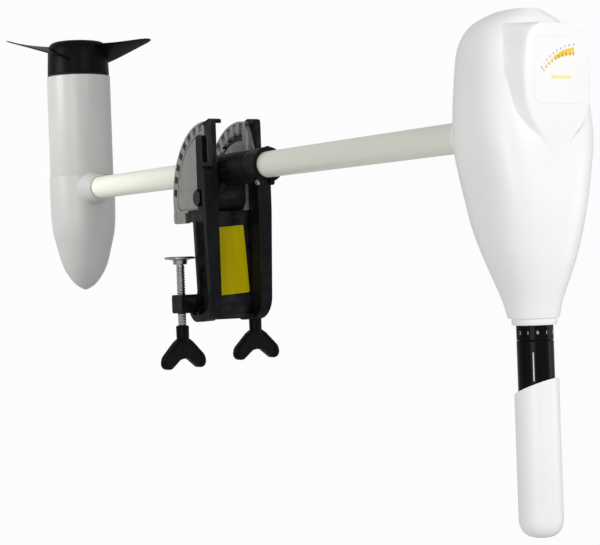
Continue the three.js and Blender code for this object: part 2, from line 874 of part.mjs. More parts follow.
// Nose casting: the pointed shell with the shaft's socket and the front bearing's bulkhead
const noseStationShares = [
  [0, 1], [0.4, 1], [0.5, 0.96], [0.62, 0.85], [0.78, 0.69], [0.88, 0.51], [0.95, 0.31], [0.985, 0.13], [1, 0],
];
const noseRoomShares = [[0, 1], [0.4, 1], [0.62, 0.83], [0.85, 0.5], [1, 0]];

function noseCone() {
  const length = noseTip - seam;
  const outer = noseStationShares.map(([along, wide]) => [noseRadius * wide, seam + length * along]);
  const innerLength = length * noseRoomShare;
  const inner = noseRoomShares.map(([along, wide]) => [
    Math.max((noseRadius - noseWall) * wide, 0), seam - overrun + (innerLength + overrun) * along,
  ]);
  const shell = cut(
    turned([[0, seam], ...outer], 'x'),
    turned([[0, seam - overrun], ...inner], 'x'),
  );
  const bulkhead = rod(noseRadius - edgeBevel, bulkheadAft, bulkheadAft + bulkheadLength, 'x', roundSides);
  const boss = rod(bossDiameter / 2, socketFloor - socketSkin, bossTop, 'z', roundSides);
  const bearingBore = rod(
    bearingDiameter / 2 + gap, bulkheadAft - overrun, bulkheadAft + bulkheadLength + overrun, 'x',
  );
  const socket = rod(shaftRadius + gap, socketFloor, bossTop + overrun, 'z', roundSides);
  const cableHole = rod(cableDiameter / 2 + gap, 0, socketFloor + overrun, 'z');
  const boltHoles = [-1, 1].map((side) => rod(
    tieBoltDiameter / 2 + gap, bulkheadAft - overrun, bulkheadAft + bulkheadLength + overrun, 'x', fineSides,
  ).translate(0, side * tieBoltOffset, 0));
  return cut(join(shell, bulkhead, boss), bearingBore, socket, cableHole, ...boltHoles);
}

function rearCap() {
  const sealRadius = bearingDiameter / 2 - edgeBevel;
  const seat = bearingDiameter / 2 + gap;
  const plug = podRadius - podWall - gap;
  const rim = podRadius - edgeBevel;
  const hub = capHubDiameter / 2;
  const aft = tubeAft - capHubAft;
  const face = tubeAft - capPlate;
  const cap = turned([
    [sealRadius, aft], [hub, aft], [hub, face], [rim, face], [rim, tubeAft], [plug, tubeAft],
    [plug, tubeAft + capPlugLength], [plug - capPlugWall, tubeAft + capPlugLength],
    [plug - capPlugWall, tubeAft + capPlate], [hub, tubeAft + capPlate], [hub, tubeAft + capSeatLength],
    [seat, tubeAft + capSeatLength], [seat, face], [sealRadius, face], [sealRadius, aft],
  ], 'x');
  const holes = [-1, 1].map((side) => rod(
    tieBoltDiameter / 2 + gap, face - overrun, tubeAft + capPlugLength + overrun, 'x', fineSides,
  ).translate(0, side * tieBoltOffset, 0));
  return cut(cap, ...holes);
}

function magnet(side) {
  const middle = (side * Math.PI) / 2;
  const shape = new THREE.Shape();
  shape.absarc(0, 0, magnetOutside, middle - magnetSpread, middle + magnetSpread, false);
  shape.absarc(0, 0, magnetInside, middle + magnetSpread, middle - magnetSpread, true);
  shape.closePath();
  return plateYZ(shape, magnetAft, magnetAft + magnetLength, fineSides);
}

function brushPlate() {
  const plate = pipe(
    podRadius - podWall - gap, brushPlateBore / 2,
    brushPlateAft, brushPlateAft + brushPlateThickness, 'x',
  );
  const holders = [-1, 1].map((side) => {
    const near = commutatorDiameter / 2 + holderReach;
    const far = near + brushLength - holderReach;
    const y0 = side > 0 ? near : -far;
    const y1 = side > 0 ? far : -near;
    const half = brushSize / 2 + holderWall;
    return box(brushPlateAft - brushSize - holderReach, brushPlateAft + holderFront, y0, y1, -half, half);
  });
  const slots = [-1, 1].map((side) => {
    const near = commutatorDiameter / 2;
    const far = near + brushLength + overrun;
    const y0 = side > 0 ? near : -far;
    const y1 = side > 0 ? far : -near;
    return box(
      brushPlateAft - brushSize - holderFront - gap, brushPlateAft - holderFront + gap,
      y0, y1, -brushSize / 2 - gap, brushSize / 2 + gap,
    );
  });
  const holes = [-1, 1].map((side) => rod(
    tieBoltDiameter / 2 + gap, brushPlateAft - overrun, brushPlateAft + brushPlateThickness + overrun,
    'x', fineSides,
  ).translate(0, side * tieBoltOffset, 0));
  const cablePass = box(
    brushPlateAft - overrun, brushPlateAft + brushPlateThickness + overrun,
    -cableDiameter, cableDiameter, podRadius - podWall - cablePassDepth, podRadius,
  );
  return cut(join(plate, ...holders), ...slots, ...holes, cablePass);
}

function brush(side) {
  const near = commutatorDiameter / 2 + gap;
  const far = near + brushLength;
  const y0 = side > 0 ? near : -far;
  const y1 = side > 0 ? far : -near;
  const front = brushPlateAft - holderFront;
  return box(front - brushSize, front, y0, y1, -brushSize / 2, brushSize / 2);
}

function axle() {
  const shaft = rod(axleDiameter / 2, axleAft, axleFront, 'x');
  const pinHole = rod(drivePinDiameter / 2 + gap, -axleDiameter, axleDiameter, 'y', fineSides)
    .translate(hubFront - drivePinAft, 0, 0);
  return cut(shaft, pinHole);
}

function armature() {
  const bore = axleDiameter / 2 + gap;
  const core = pipe(armatureRadius, bore, armatureAft, armatureAft + armatureLength, 'x');
  const slots = [];
  for (let slot = 0; slot < armatureSlots; slot += 1) {
    const tool = box(
      armatureAft - overrun, armatureAft + armatureLength + overrun,
      -armatureSlotWidth / 2, armatureSlotWidth / 2,
      armatureRadius - armatureSlotDepth, armatureRadius + overrun,
    );
    slots.push(tool.rotateX((slot * 2 * Math.PI) / armatureSlots));
  }
  return cut(core, ...slots);
}

// The hub's back and the room inside it: [radius, distance from the aft end] shares
const hubStationShares = [[0.75, 0], [0.88, 0.25], [0.95, 0.75]];
const hubRoomShares = [[0.94, 1], [0.87, 0.58]];

// Propeller: a cup that covers the rear cap, with a web, a nut pocket and the blades
function propeller() {
  const bore = axleDiameter / 2 + gap;
  const outer = hubDiameter / 2;
  const rim = outer - hubWall;
  const core = hubCoreDiameter / 2;
  const floor = hubAft + hubPocket;
  const coreEnd = hubFront - hubCoreSetback;
  const back = hubStationShares.map(([wide, along]) => [outer * wide, hubAft + hubPocket * along]);
  const room = hubRoomShares.map(([wide, along]) => [rim * wide, hubAft + hubPocket * along]);
  const cup = turned([
    [bore, floor], [core, floor], [core, hubAft], ...back, [outer, hubFront], [rim, hubFront], ...room,
    [core + hubWall, hubAft + hubWeb], [core + hubWall, floor + hubWall], [core, floor + hubWall],
    [core, coreEnd], [bore, coreEnd], [bore, floor],
  ], 'x');
  const pinSlot = box(
    hubFront - pinSlotDepth, hubFront + overrun, -rim + pinSlotSkin, rim - pinSlotSkin,
    -drivePinDiameter / 2 - gap, drivePinDiameter / 2 + gap,
  );
  const blades = [];
  for (let blade = 0; blade < bladeCount; blade += 1) {
    blades.push(propellerBlade().rotateX(bladeStart + (blade * 2 * Math.PI) / bladeCount));
  }
  return cut(join(cup, ...blades), pinSlot);
}

// One blade out along Y: [reach, chord, front shift, thickness] shares, each section wrapped about the hub
const bladeStationShares = [
  [0, 1, 0.14, 1], [0.16, 0.88, 0.11, 0.9], [0.36, 0.72, 0.07, 0.75], [0.58, 0.56, 0.03, 0.6],
  [0.8, 0.4, 0, 0.5], [0.94, 0.27, 0, 0.4], [1, 0.12, 0, 0.3],
];
const sectionShares = [
  [-0.5, 0], [-0.35, -0.4], [-0.1, -0.5], [0.2, -0.5], [0.5, 0], [0.2, 0.5], [-0.1, 0.5], [-0.35, 0.4],
];

function propellerBlade() {
  const root = hubDiameter / 2 - hubWall / 2;
  const rings = bladeStationShares.map(([out, wide, shift, thick]) => {
    const radius = root + (propellerRadius - root) * out;
    const chord = bladeChord * wide;
    const pitch = bladeRootPitch + (bladeTipPitch - bladeRootPitch) * out;
    const section = sectionShares.map(([across, through]) => {
      const along = across * chord + shift * bladeChord;
      const depth = through * bladeThickness * thick;
      const x = bladeMiddle + bladeRake * out + across * chord * Math.sin(pitch) + depth * Math.cos(pitch);
      const turn = (depth * Math.sin(pitch) - along * Math.cos(pitch)) / radius;
      return new THREE.Vector3(x, radius * Math.cos(turn), radius * Math.sin(turn));
    });
    return section.reverse();
  });
  return skinned(rings);
}

function hexNut(size, boreRadius, from, to) {
  const body = plateYZ(hexagon(size), from, to);
  return cut(body, rod(boreRadius, from - overrun, to + overrun, 'x'));
}

// Head: superellipse sections along X, each [place, half width, top, bottom, fullness]
const headSectionShares = [
  [0, 0.28, 0.42, 0.58, 2.2], [0.012, 0.41, 0.48, 0.72, 2.3], [0.035, 0.61, 0.58, 0.83, 2.5],
  [0.075, 0.78, 0.68, 0.92, 2.7], [0.13, 0.88, 0.77, 0.97, 2.9], [0.21, 0.93, 0.85, 0.99, 3],
  [0.32, 0.99, 0.93, 1, 3], [0.43, 1, 0.99, 1.01, 3], [0.52, 0.94, 1, 0.99, 2.9],
  [0.61, 0.86, 1, 0.94, 2.8], [0.7, 0.79, 0.95, 0.86, 2.6], [0.79, 0.69, 0.87, 0.71, 2.4],
  [0.87, 0.56, 0.76, 0.56, 2.3], [0.94, 0.45, 0.65, 0.43, 2.1], [1, 0.39, 0.57, 0.33, 2],
];

function headBody(inset) {
  const length = headFront - headAft - 2 * inset;
  const rings = headSectionShares.map(([along, wide, up, down, fullness]) => {
    const x = headAft + inset + length * along;
    const top = headMiddle + (headCrown / 2) * up - inset;
    const bottom = headMiddle - (headCrown / 2) * down + inset;
    const middle = (top + bottom) / 2;
    const tall = (top - bottom) / 2;
    const half = Math.max((headWidth / 2) * wide - inset, edgeBevel);
    const ring = [];
    for (let side = 0; side < headSides; side += 1) {
      const angle = (2 * Math.PI * side) / headSides;
      const y = half * Math.sign(Math.cos(angle)) * Math.abs(Math.cos(angle)) ** (2 / fullness);
      const z = middle + tall * Math.sign(Math.sin(angle)) * Math.abs(Math.sin(angle)) ** (2 / fullness);
      ring.push(new THREE.Vector3(x, y, z));
    }
    return ring;
  });
  return skinned(rings);
}

// The raised display platform, rounded at its aft end and tapering forward
const platformShares = [
  [0, 0.3], [0.02, 0.5], [0.075, 0.73], [0.17, 0.93], [0.27, 0.99], [0.4, 1], [0.62, 0.98], [0.76, 0.87],
  [0.88, 0.63], [0.96, 0.35], [1, 0.12],
];

function displayPlatform() {
  const length = platformFront - platformAft;
  const ringAt = (z, grow, growAft) => {
    const edge = platformShares.map(([along, wide]) => new THREE.Vector3(
      platformAft - growAft + (length + 2 * growAft) * along, -(platformWidth / 2) * wide - grow, z,
    ));
    const other = edge.map((point) => new THREE.Vector3(point.x, -point.y, z)).reverse();
    return [...edge, ...other];
  };
  return skinned([
    ringAt(platformTop - platformRise - platformRoot, platformDraft, platformAftDraft),
    ringAt(platformTop - platformRise, platformDraft, platformAftDraft),
    ringAt(platformTop - platformEdge, edgeBevel, platformAftDraft / 2),
    ringAt(platformTop, 0, 0),
  ]);
}

function headCover() {
  const above = box(
    headAft - overrun, headFront + overrun, -headWidth, headWidth, partingHeight, platformTop + overrun,
  );
  const outer = join(headBody(0), displayPlatform());
  const meterRoom = box(
    membraneAft + boardMargin, membraneAft + membraneLength - boardMargin,
    -membraneWidth / 2 + boardMargin, membraneWidth / 2 - boardMargin, headMiddle, platformTop - coverSkin,
  );
  const recess = plateXY(membraneOutline(0), platformTop - membraneThickness, platformTop + overrun);
  const mouth = rod(stubDiameter / 2 + edgeBevel, headFront - switchBodyDepth, headFront + overrun, 'x')
    .translate(0, 0, tillerHeight);
  return cut(keep(outer, above), headBody(headWall), meterRoom, recess, mouth);
}

function membraneOutline(inset) {
  const aft = membraneAft + inset;
  const front = membraneAft + membraneLength - inset;
  const half = membraneWidth / 2 - inset;
  return outline([
    [aft, -half, membraneCorner], [front, -half, membraneCorner],
    [front, half, membraneCorner], [aft, half, membraneCorner],
  ]);
}

function headBase() {
  const below = box(
    headAft - overrun, headFront + overrun, -headWidth, headWidth,
    headMiddle - headCrown, partingHeight,
  );
  const tray = cut(keep(headBody(0), below), headBody(headWall));
  const neck = turned([
    [0, neckBottom], [neckTipDiameter / 2 - edgeBevel, neckBottom], [neckTipDiameter / 2, neckBottom + neckLip],
    [neckRootDiameter / 2, headMiddle - headCrown / 2 + neckLip], [neckRootDiameter / 2, partingHeight - neckLip],
    [0, partingHeight - neckLip],
  ], 'z');
  const bore = rod(shaftRadius + gap, neckBottom - overrun, partingHeight + overrun, 'z', roundSides);
  const glandHole = rod(glandNeckDiameter / 2 + gap, headMiddle - headCrown, partingHeight, 'z')
    .translate(glandAft, 0, 0);
  return cut(join(tray, neck), bore, glandHole);
}

function cableGland() {
  const floor = headMiddle - headCrown / 2 + edgeBevel;
  const bore = glandBore / 2;
  const barrel = glandNeckDiameter / 2;
  const collar = glandDiameter / 2;
  const foot = floor - glandDrop;
  const seat = floor - edgeBevel - gap;
  return turned([
    [bore, foot], [barrel, foot], [collar, foot + glandCone], [collar, seat], [barrel, seat],
    [barrel, floor + glandRise], [bore, floor + glandRise], [bore, foot],
  ], 'z', smallSides).translate(glandAft, 0, 0);
}

function speedSwitch() {
  const back = headFront - switchDepth;
  const shoulder = headFront - switchBodyDepth;
  const face = headFront - headWall - switchRoom;
  const wide = switchDiameter / 2;
  const neck = switchNeckDiameter / 2;
  const pin = switchPinDiameter / 2;
  return turned([
    [0, back], [neck, back], [neck, shoulder], [wide, shoulder], [wide, face],
    [pin, face], [pin, headFront + switchPinReach], [0, headFront + switchPinReach],
  ], 'x', smallSides);
}

function throttleTube() {
  const outer = throttleDiameter / 2;
  const bore = outer - throttleWall;
  const stub = stubDiameter / 2;
  const hollow = stub - stubWall;
  const start = headFront - edgeBevel;
  return turned([
    [hollow, start], [stub, start], [stub, throttleShoulder], [outer, throttleShoulder], [outer, throttleFront],
    [bore, throttleFront], [bore, throttleStep], [hollow, throttleStep], [hollow, start],
  ], 'x');
}

// The grip's rounded end: [radius, setback] as shares of its radius
const gripEndShares = [[1, 0.82], [0.96, 0.52], [0.835, 0.26], [0.59, 0.07], [0.28, 0]];

function grip() {
  const outer = gripDiameter / 2;
  const room = throttleDiameter / 2 + runningGap;
  const socket = innerTubeDiameter / 2 + gap;
  const deep = throttleFront + gripRoom;
  const start = gripAft - gripSpare;
  const end = gripEndShares.map(([wide, back]) => [outer * wide, gripFront - outer * back]);
  const body = turned([[0, start], [outer, start], ...end, [0, gripFront]], 'x');
  const bore = turned([
    [0, start - overrun], [room, start - overrun], [room, deep], [socket, deep],
    [socket, innerTubeFront + gap], [0, innerTubeFront + gap],
  ], 'x');
  const slant = box(-gripDiameter * 2, 0, -gripDiameter, gripDiameter, -gripDiameter, gripDiameter)
    .rotateY(-Math.atan(gripSlant)).rotateX(-gripSlantTurn).translate(gripAft + gripShift, 0, 0);
  return cut(body, bore, slant);
}

// The clamp and what it carries on the boat
for (const [side, place] of [['port', 1], ['starboard', -1]]) {
  const wall = clampWall();
  const plate = quadrant();
  addPiece(seatFrame, `clamp_wall_${side}`, place > 0 ? wall : mirrored(wall), blackCasting);
  addPiece(seatFrame, `quadrant_${side}`, place > 0 ? plate : mirrored(plate), castAluminium);
}
addPiece(seatFrame, 'clamp_bridge', clampBridge(), blackCasting);
addPiece(seatFrame, 'bridge_label', bridgeLabel(), yellowFilm);
const boltReach = wallInside + wallWeb + gap;
const bridgeBolt = crossBolt(bridgeBoltDiameter, bridgeBoltHeadSize, bridgeBoltHeadHeight, boltReach)
  .translate(bridgeFront - bridgeBoltAft, 0, bridgeHeight / 2);
addPiece(seatFrame, 'bridge_bolt', bridgeBolt, blackenedSteel);
const pivotBolt = crossBolt(pivotBoltDiameter, boltHeadSize, boltHeadHeight, boltReach);
addPiece(pivotFrame, 'pivot_bolt', pivotBolt, blackenedSteel);
const pivotNut = cut(
  plateXZ(hexagon(boltHeadSize), boltReach, boltReach + nutHeight),
  rod(pivotBoltDiameter / 2 + gap, boltReach - overrun, boltReach + nutHeight + overrun, 'y'),
);
addPiece(pivotFrame, 'pivot_nut', pivotNut, blackenedSteel);

// Clamp screws, pads and handles
const clampSides = [
  ['starboard', -1, starboardPad, starboardHandleTurn],
  ['port', 1, starboardPad + portPadOffset, portHandleTurn],
];
for (const [side, place, face, turn] of clampSides) {
  const frame = frameAt(0, (place * screwSpacing) / 2, screwHeight);
  addPiece(frame, `clamp_pad_${side}`, clampPad(face), steel);
  addPiece(frame, `clamp_screw_${side}`, clampScrew(face), steel);
  addPiece(frame, `clamp_handle_${side}`, clampHandle(face, turn), blackPlastic);
}

// Tilting yoke
addPiece(pivotFrame, 'tilt_yoke', tiltYoke(), blackCasting);
addPiece(pivotFrame, 'lock_pin', lockPin(), steel);
addPiece(pivotFrame, 'lock_tab', lockTab(), blackPlastic);
const bushOuter = yokeWidth - sleeveWall - gap;
const bushInner = shaftRadius + gap;
const bush = (from, to) => pipe(bushOuter, bushInner, from, to, 'z');
addPiece(shaftFrame, 'swivel_bush_lower', bush(sleeveBottom, sleeveBottom + bushLength), nylon);
addPiece(shaftFrame, 'swivel_bush_upper', bush(upperBushTop - bushLength, upperBushTop), nylon);
const tensionFrame = frameAt(shaftX, 0, tensionHeight);
tensionFrame.rotation.z = tensionAngle;
const tensionScrewEnd = yokeWidth + tensionScrewReach;
const tensionScrew = rod(tensionScrewDiameter / 2, shaftRadius + runningGap, tensionScrewEnd, 'y');
const knobRadius = tensionKnobDiameter / 2;
const knobFoot = yokeWidth + edgeBevel;
const knobEnd = yokeWidth + tensionKnobLength;
const tensionKnob = cut(
  turned([
    [0, knobFoot], [knobRadius - tensionKnobCone, knobFoot], [knobRadius, knobFoot + tensionKnobCone],
    [knobRadius, knobEnd - edgeBevel], [knobRadius - edgeBevel, knobEnd], [0, knobEnd],
  ], 'y', smallSides),
  rod(tensionScrewDiameter / 2 + gap, 0, tensionScrewEnd + gap, 'y'),
);
addPiece(tensionFrame, 'tension_screw', tensionScrew, steel);
addPiece(tensionFrame, 'tension_knob', tensionKnob, blackPlastic);

// Depth collar, shaft and cable
addPiece(shaftFrame, 'depth_collar', depthCollar(), blackCasting);
addPiece(shaftFrame, 'collar_screw', collarScrew(), steel);
const shaftBottom = socketFloor + gap - podDrop;
const shaftTube = pipe(shaftRadius, shaftRadius - shaftWall, shaftBottom, shaftTop, 'z');
addPiece(shaftFrame, 'shaft_tube', shaftTube, creamComposite);
const cable = rod(cableDiameter / 2, shaftBottom - cableBelow, shaftTop + cableAbove, 'z', fineSides);
addPiece(shaftFrame, 'motor_cable', cable, rubber);

// Motor pod
addPiece(podFrame, 'nose_cone', noseCone(), greyPaint);
addPiece(podFrame, 'motor_tube', pipe(podRadius, podRadius - podWall, tubeAft, seam, 'x'), greyPaint);
addPiece(podFrame, 'rear_cap', rearCap(), blackCasting);
addPiece(podFrame, 'magnet_upper', magnet(1), ferrite);
addPiece(podFrame, 'magnet_lower', magnet(-1), ferrite);
addPiece(podFrame, 'brush_plate', brushPlate(), nylon);
addPiece(podFrame, 'brush_port', brush(1), carbon);
addPiece(podFrame, 'brush_starboard', brush(-1), carbon);
const bearingBore = axleDiameter / 2 + gap;
const bearing = (from) => pipe(bearingDiameter / 2, bearingBore, from, from + bearingLength, 'x', smallSides);
addPiece(podFrame, 'bearing_front', bearing(bulkheadAft), steel);
addPiece(podFrame, 'bearing_rear', bearing(tubeAft - capPlate + gap), steel);
const sealRing = pipe(
  bearingDiameter / 2 - edgeBevel - gap, bearingBore, tubeAft - capHubAft, tubeAft - capPlate - gap, 'x', smallSides,
);
addPiece(podFrame, 'shaft_seal', sealRing, rubber);
for (const [side, place] of [['port', 1], ['starboard', -1]]) {
  const seat = tubeAft - capPlate - gap;
  const shank = rod(tieBoltDiameter / 2, seat, bulkheadAft + bulkheadLength - boltTail, 'x', fineSides);
  const head = rod(tieBoltHead / 2, seat - tieBoltHeadHeight, seat, 'x', fineSides);
  addPiece(podFrame, `tie_bolt_${side}`, join(shank, head).translate(0, place * tieBoltOffset, 0), steel);
}

// What turns with the propeller
addPiece(podFrame, 'armature_axle', axle(), steel);
addPiece(podFrame, 'armature', armature(), laminatedSteel);
const commutator = pipe(
  commutatorDiameter / 2, axleDiameter / 2 + gap, commutatorAft, commutatorAft + commutatorLength, 'x', smallSides,
);
addPiece(podFrame, 'commutator', commutator, copper);
const drivePin = rod(drivePinDiameter / 2, -drivePinLength / 2, drivePinLength / 2, 'y', fineSides)
  .translate(hubFront - drivePinAft, 0, 0);
addPiece(podFrame, 'drive_pin', drivePin, steel);
addPiece(podFrame, 'propeller', propeller(), blackPlastic);
const washerFront = hubAft + hubPocket - gap;
const washerAft = washerFront - washerThickness;
const washer = pipe(nutSize / 2, axleDiameter / 2 + gap, washerAft, washerFront, 'x', smallSides);
addPiece(podFrame, 'propeller_washer', washer, steel);
const propellerNut = hexNut(nutSize, axleDiameter / 2 + gap, washerAft - gap - nutLength, washerAft - gap);
addPiece(podFrame, 'propeller_nut', propellerNut, steel);

// Head
addPiece(shaftFrame, 'head_base', headBase(), whitePlastic);
addPiece(shaftFrame, 'head_cover', headCover(), whitePlastic);
addPiece(
  shaftFrame, 'meter_membrane',
  plateXY(membraneOutline(gap), platformTop - membraneThickness, platformTop), whitePlastic,
);
const boardInset = boardMargin + edgeBevel;
const board = box(
  membraneAft + boardInset, membraneAft + membraneLength - boardInset,
  -membraneWidth / 2 + boardInset, membraneWidth / 2 - boardInset,
  platformTop - coverSkin - gap - boardThickness, platformTop - coverSkin - gap,
);
addPiece(shaftFrame, 'meter_board', board, greenBoard);
addPiece(shaftFrame, 'cable_gland', cableGland(), blackPlastic);
addPiece(tillerFrame, 'speed_switch', speedSwitch(), blackPlastic);

// Tiller
const ringBore = stubDiameter / 2 + runningGap;
const tillerRing = pipe(ringDiameter / 2, ringBore, headFront, headFront + ringLength, 'x');
addPiece(tillerFrame, 'tiller_ring', tillerRing, whitePlastic);
const dial = pipe(throttleDiameter / 2, ringBore, headFront + ringLength, headFront + ringLength + dialLength, 'x');
addPiece(tillerFrame, 'speed_dial', dial, blackPlastic);
addPiece(tillerFrame, 'throttle_tube', throttleTube(), blackPlastic);
const innerTube = pipe(
  innerTubeDiameter / 2, innerTubeDiameter / 2 - innerTubeWall,
  throttleStep + innerTubeSpare, innerTubeFront, 'x', smallSides,
);
addPiece(tillerFrame, 'inner_tube', innerTube, blackPlastic);
addPiece(tillerFrame, 'grip', grip(), whitePlastic);

export default motor;
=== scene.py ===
"""Looks of an electric outboard motor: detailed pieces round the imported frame, finishes, stage, lamps.

Lengths are millimetres in the record's frame (+X forward, +Y port, +Z up). piece() turns them into metres.
"""

from math import atan, atan2, copysign, cos, exp, pi, radians, sin, sqrt, tan

import bmesh
import bpy
from mathutils import Matrix, Vector


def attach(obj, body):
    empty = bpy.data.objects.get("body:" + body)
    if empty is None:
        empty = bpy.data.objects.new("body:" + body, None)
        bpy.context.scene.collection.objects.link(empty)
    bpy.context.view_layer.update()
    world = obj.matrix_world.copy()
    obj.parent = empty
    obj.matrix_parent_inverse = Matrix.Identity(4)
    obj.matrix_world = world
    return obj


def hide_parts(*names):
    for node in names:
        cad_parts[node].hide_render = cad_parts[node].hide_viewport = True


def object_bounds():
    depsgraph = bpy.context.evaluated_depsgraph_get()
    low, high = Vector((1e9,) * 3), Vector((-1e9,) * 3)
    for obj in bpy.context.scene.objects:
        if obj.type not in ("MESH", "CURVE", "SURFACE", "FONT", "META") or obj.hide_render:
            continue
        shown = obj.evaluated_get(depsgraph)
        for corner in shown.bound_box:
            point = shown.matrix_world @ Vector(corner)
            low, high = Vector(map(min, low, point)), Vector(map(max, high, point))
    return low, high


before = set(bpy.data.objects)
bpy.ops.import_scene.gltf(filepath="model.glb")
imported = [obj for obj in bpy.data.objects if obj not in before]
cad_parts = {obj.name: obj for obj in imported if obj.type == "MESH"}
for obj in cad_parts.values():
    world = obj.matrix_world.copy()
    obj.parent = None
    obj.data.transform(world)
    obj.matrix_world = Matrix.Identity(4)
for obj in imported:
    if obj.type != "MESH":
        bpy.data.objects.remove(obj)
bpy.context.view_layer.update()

MM = 0.001
FULL_TURN = 2 * pi

# Where things are in the frame
SHAFT_X = -99
PIVOT = Vector((-68, 0, 21))
POD = (SHAFT_X, 0, -400)
TILLER_Z = 595
TILLER = (SHAFT_X, 0, TILLER_Z)
BRIDGE_BOLT = (58, 0, 12.5)
SCREW_Y, SCREW_Z = 47, -7
DEPTH_TRAVEL = 280

# The clamp's planes, from its middle: a wall's inner face, and the outer faces of its web and its rim
WALL_INSIDE, WEB_OUTSIDE, RIM_OUTSIDE = 25.3, 31.3, 42

# Radii of the bores for the shaft, for 10 mm bolts and screws, and for small bolts
SHAFT_BORE, BOLT_BORE, SMALL_BORE = 14.6, 5.3, 3.3

# Notches about the pivot, in degrees from straight down towards aft, their radius and the released pin's
FIRST_NOTCH, NOTCH_STEP, NOTCHES = 6.6, 10.9, 9
NOTCH_RADIUS, PIN_RADIUS = 80, 68

# Points closer than this are one, in a new mesh and after a Boolean
MERGE, BOOLEAN_MERGE = 0.001, 0.004


# Finishes
def linear(colour):
    """An sRGB hex colour as the linear value that a shader takes."""
    channels = [int(colour[place:place + 2], 16) / 255 for place in (1, 3, 5)]
    return [c / 12.92 if c <= 0.04045 else ((c + 0.055) / 1.055) ** 2.4 for c in channels] + [1]


def add_node(material, kind, settings=None, links=None):
    """Adds a shader node, sets its options and input values, and links its inputs to nodes' outputs."""
    node = material.node_tree.nodes.new("ShaderNode" + kind)
    for name, value in (settings or {}).items():
        if isinstance(name, int) or name in node.inputs:
            node.inputs[name].default_value = value
        else:
            setattr(node, name, value)
    for name, output in (links or {}).items():
        material.node_tree.links.new(output, node.inputs[name])
    return node


def finish(
    name, light, dark, patch, roughness, spread, grain, relief, squeeze=(1, 1, 1), worn=None, mirror=0.5,
    **shader
):
    """A finish of two close colours in patches, with varying gloss and a raised grain.

    patch and grain are sizes in mm, and relief is the grain's height. squeeze packs the patterns closer
    along an axis, or below 1 draws them out. worn is the colour that shows through on rubbed edges, and
    mirror is the specular level.
    """
    material = bpy.data.materials.new(name)
    material.use_nodes = True
    material.node_tree.nodes.clear()
    place = add_node(material, "TexCoord").outputs["Object"]
    place = add_node(material, "Mapping", {"Scale": squeeze}, {"Vector": place}).outputs["Vector"]
    broad = add_node(
        material, "TexNoise", {"Scale": 1 / (patch * MM), "Detail": 4}, {"Vector": place}
    ).outputs["Fac"]
    fine = add_node(
        material, "TexNoise", {"Scale": 1 / (grain * MM), "Detail": 3}, {"Vector": place}
    ).outputs["Fac"]
    # Noise lies mostly between 0.3 and 0.7
    share = add_node(
        material, "MapRange", {"From Min": 0.35, "From Max": 0.65}, {"Value": broad}
    ).outputs["Result"]
    colour = add_node(
        material, "Mix", {"data_type": "RGBA", 6: linear(dark), 7: linear(light)}, {0: share}
    ).outputs[2]
    if worn:
        # Pointiness is 0.5 on a flat face and more on an edge that stands out
        edge = add_node(material, "NewGeometry").outputs["Pointiness"]
        rubbed = add_node(
            material, "MapRange", {"From Min": 0.53, "From Max": 0.62, "To Max": 0.7}, {"Value": edge}
        ).outputs["Result"]
        rubbed = add_node(
            material, "Math", {"operation": "MULTIPLY"}, {0: rubbed, 1: share}
        ).outputs["Value"]
        colour = add_node(
            material, "Mix", {"data_type": "RGBA", 7: linear(worn)}, {0: rubbed, 6: colour}
        ).outputs[2]
    gloss = add_node(
        material, "MapRange",
        {"From Min": 0.3, "From Max": 0.7, "To Min": roughness - spread, "To Max": roughness + spread},
        {"Value": fine},
    ).outputs["Result"]
    bump = add_node(material, "Bump", {"Distance": relief * MM}, {"Height": fine}).outputs["Normal"]
    surface = add_node(
        material, "BsdfPrincipled", {"Specular IOR Level": mirror, **shader},
        {"Base Color": colour, "Roughness": gloss, "Normal": bump},
    )
    add_node(material, "OutputMaterial", links={"Surface": surface.outputs["BSDF"]})
    return material


# Moulded ABS: even warm white with a soft sheen and a faint orange peel of 2 mm
moulded_abs = finish(
    "moulded_white_abs", "#f9f9f8", "#f6f6f4", 60, 0.32, 0.03, 2, 0.006, IOR=1.53, mirror=0.3,
)
# Powder coat on die-cast aluminium: satin blue-black, pebbled at 0.7 mm, greyer where edges are rubbed
powder_coat = finish(
    "black_powder_coat", "#101114", "#0a0b0d", 14, 0.42, 0.06, 0.7, 0.02, worn="#38393d",
    IOR=1.5, mirror=0.06,
)
# Glass-filled nylon: moulded black with a soft sheen and fine fibre mottling
moulded_nylon = finish(
    "black_moulded_nylon", "#0c0c0e", "#070709", 9, 0.36, 0.06, 0.9, 0.02, IOR=1.53, mirror=0.04,
)
# Gloss black ABS of the tiller: deep black that mirrors the lamps
gloss_black = finish(
    "gloss_black_abs", "#0a0a0c", "#070709", 30, 0.16, 0.03, 3, 0.008, IOR=1.53, mirror=0.05,
)
# Die-cast aluminium, tumbled and left bare: satin grey with a sandy skin
die_cast = finish(
    "bare_die_cast_aluminium", "#8f8e8b", "#868582", 12, 0.42, 0.04, 0.8, 0.015, Metallic=0.6,
)
# Stainless steel bar, turned: bright with rings across the axis of the screws
turned_steel = finish(
    "turned_stainless_steel", "#94938f", "#7f7e7a", 5, 0.3, 0.06, 0.6, 0.02, squeeze=(3, 1, 1), Metallic=1,
)
# Black oxide on steel: dark brown-black with a metal glint, brighter on its edges
black_oxide = finish(
    "black_oxide_steel", "#1b1b1c", "#111112", 4, 0.36, 0.08, 0.5, 0.02, worn="#4c4b4a", Metallic=0.9,
)
# Pultruded glass-fibre tube: greenish cream gel coat, faintly streaked along its fibres
gel_coat = finish(
    "cream_gel_coated_fibre", "#ebecdf", "#e9eadc", 30, 0.3, 0.01, 2.5, 0.0005, squeeze=(1, 1, 0.08),
    IOR=1.55, mirror=0.45,
)
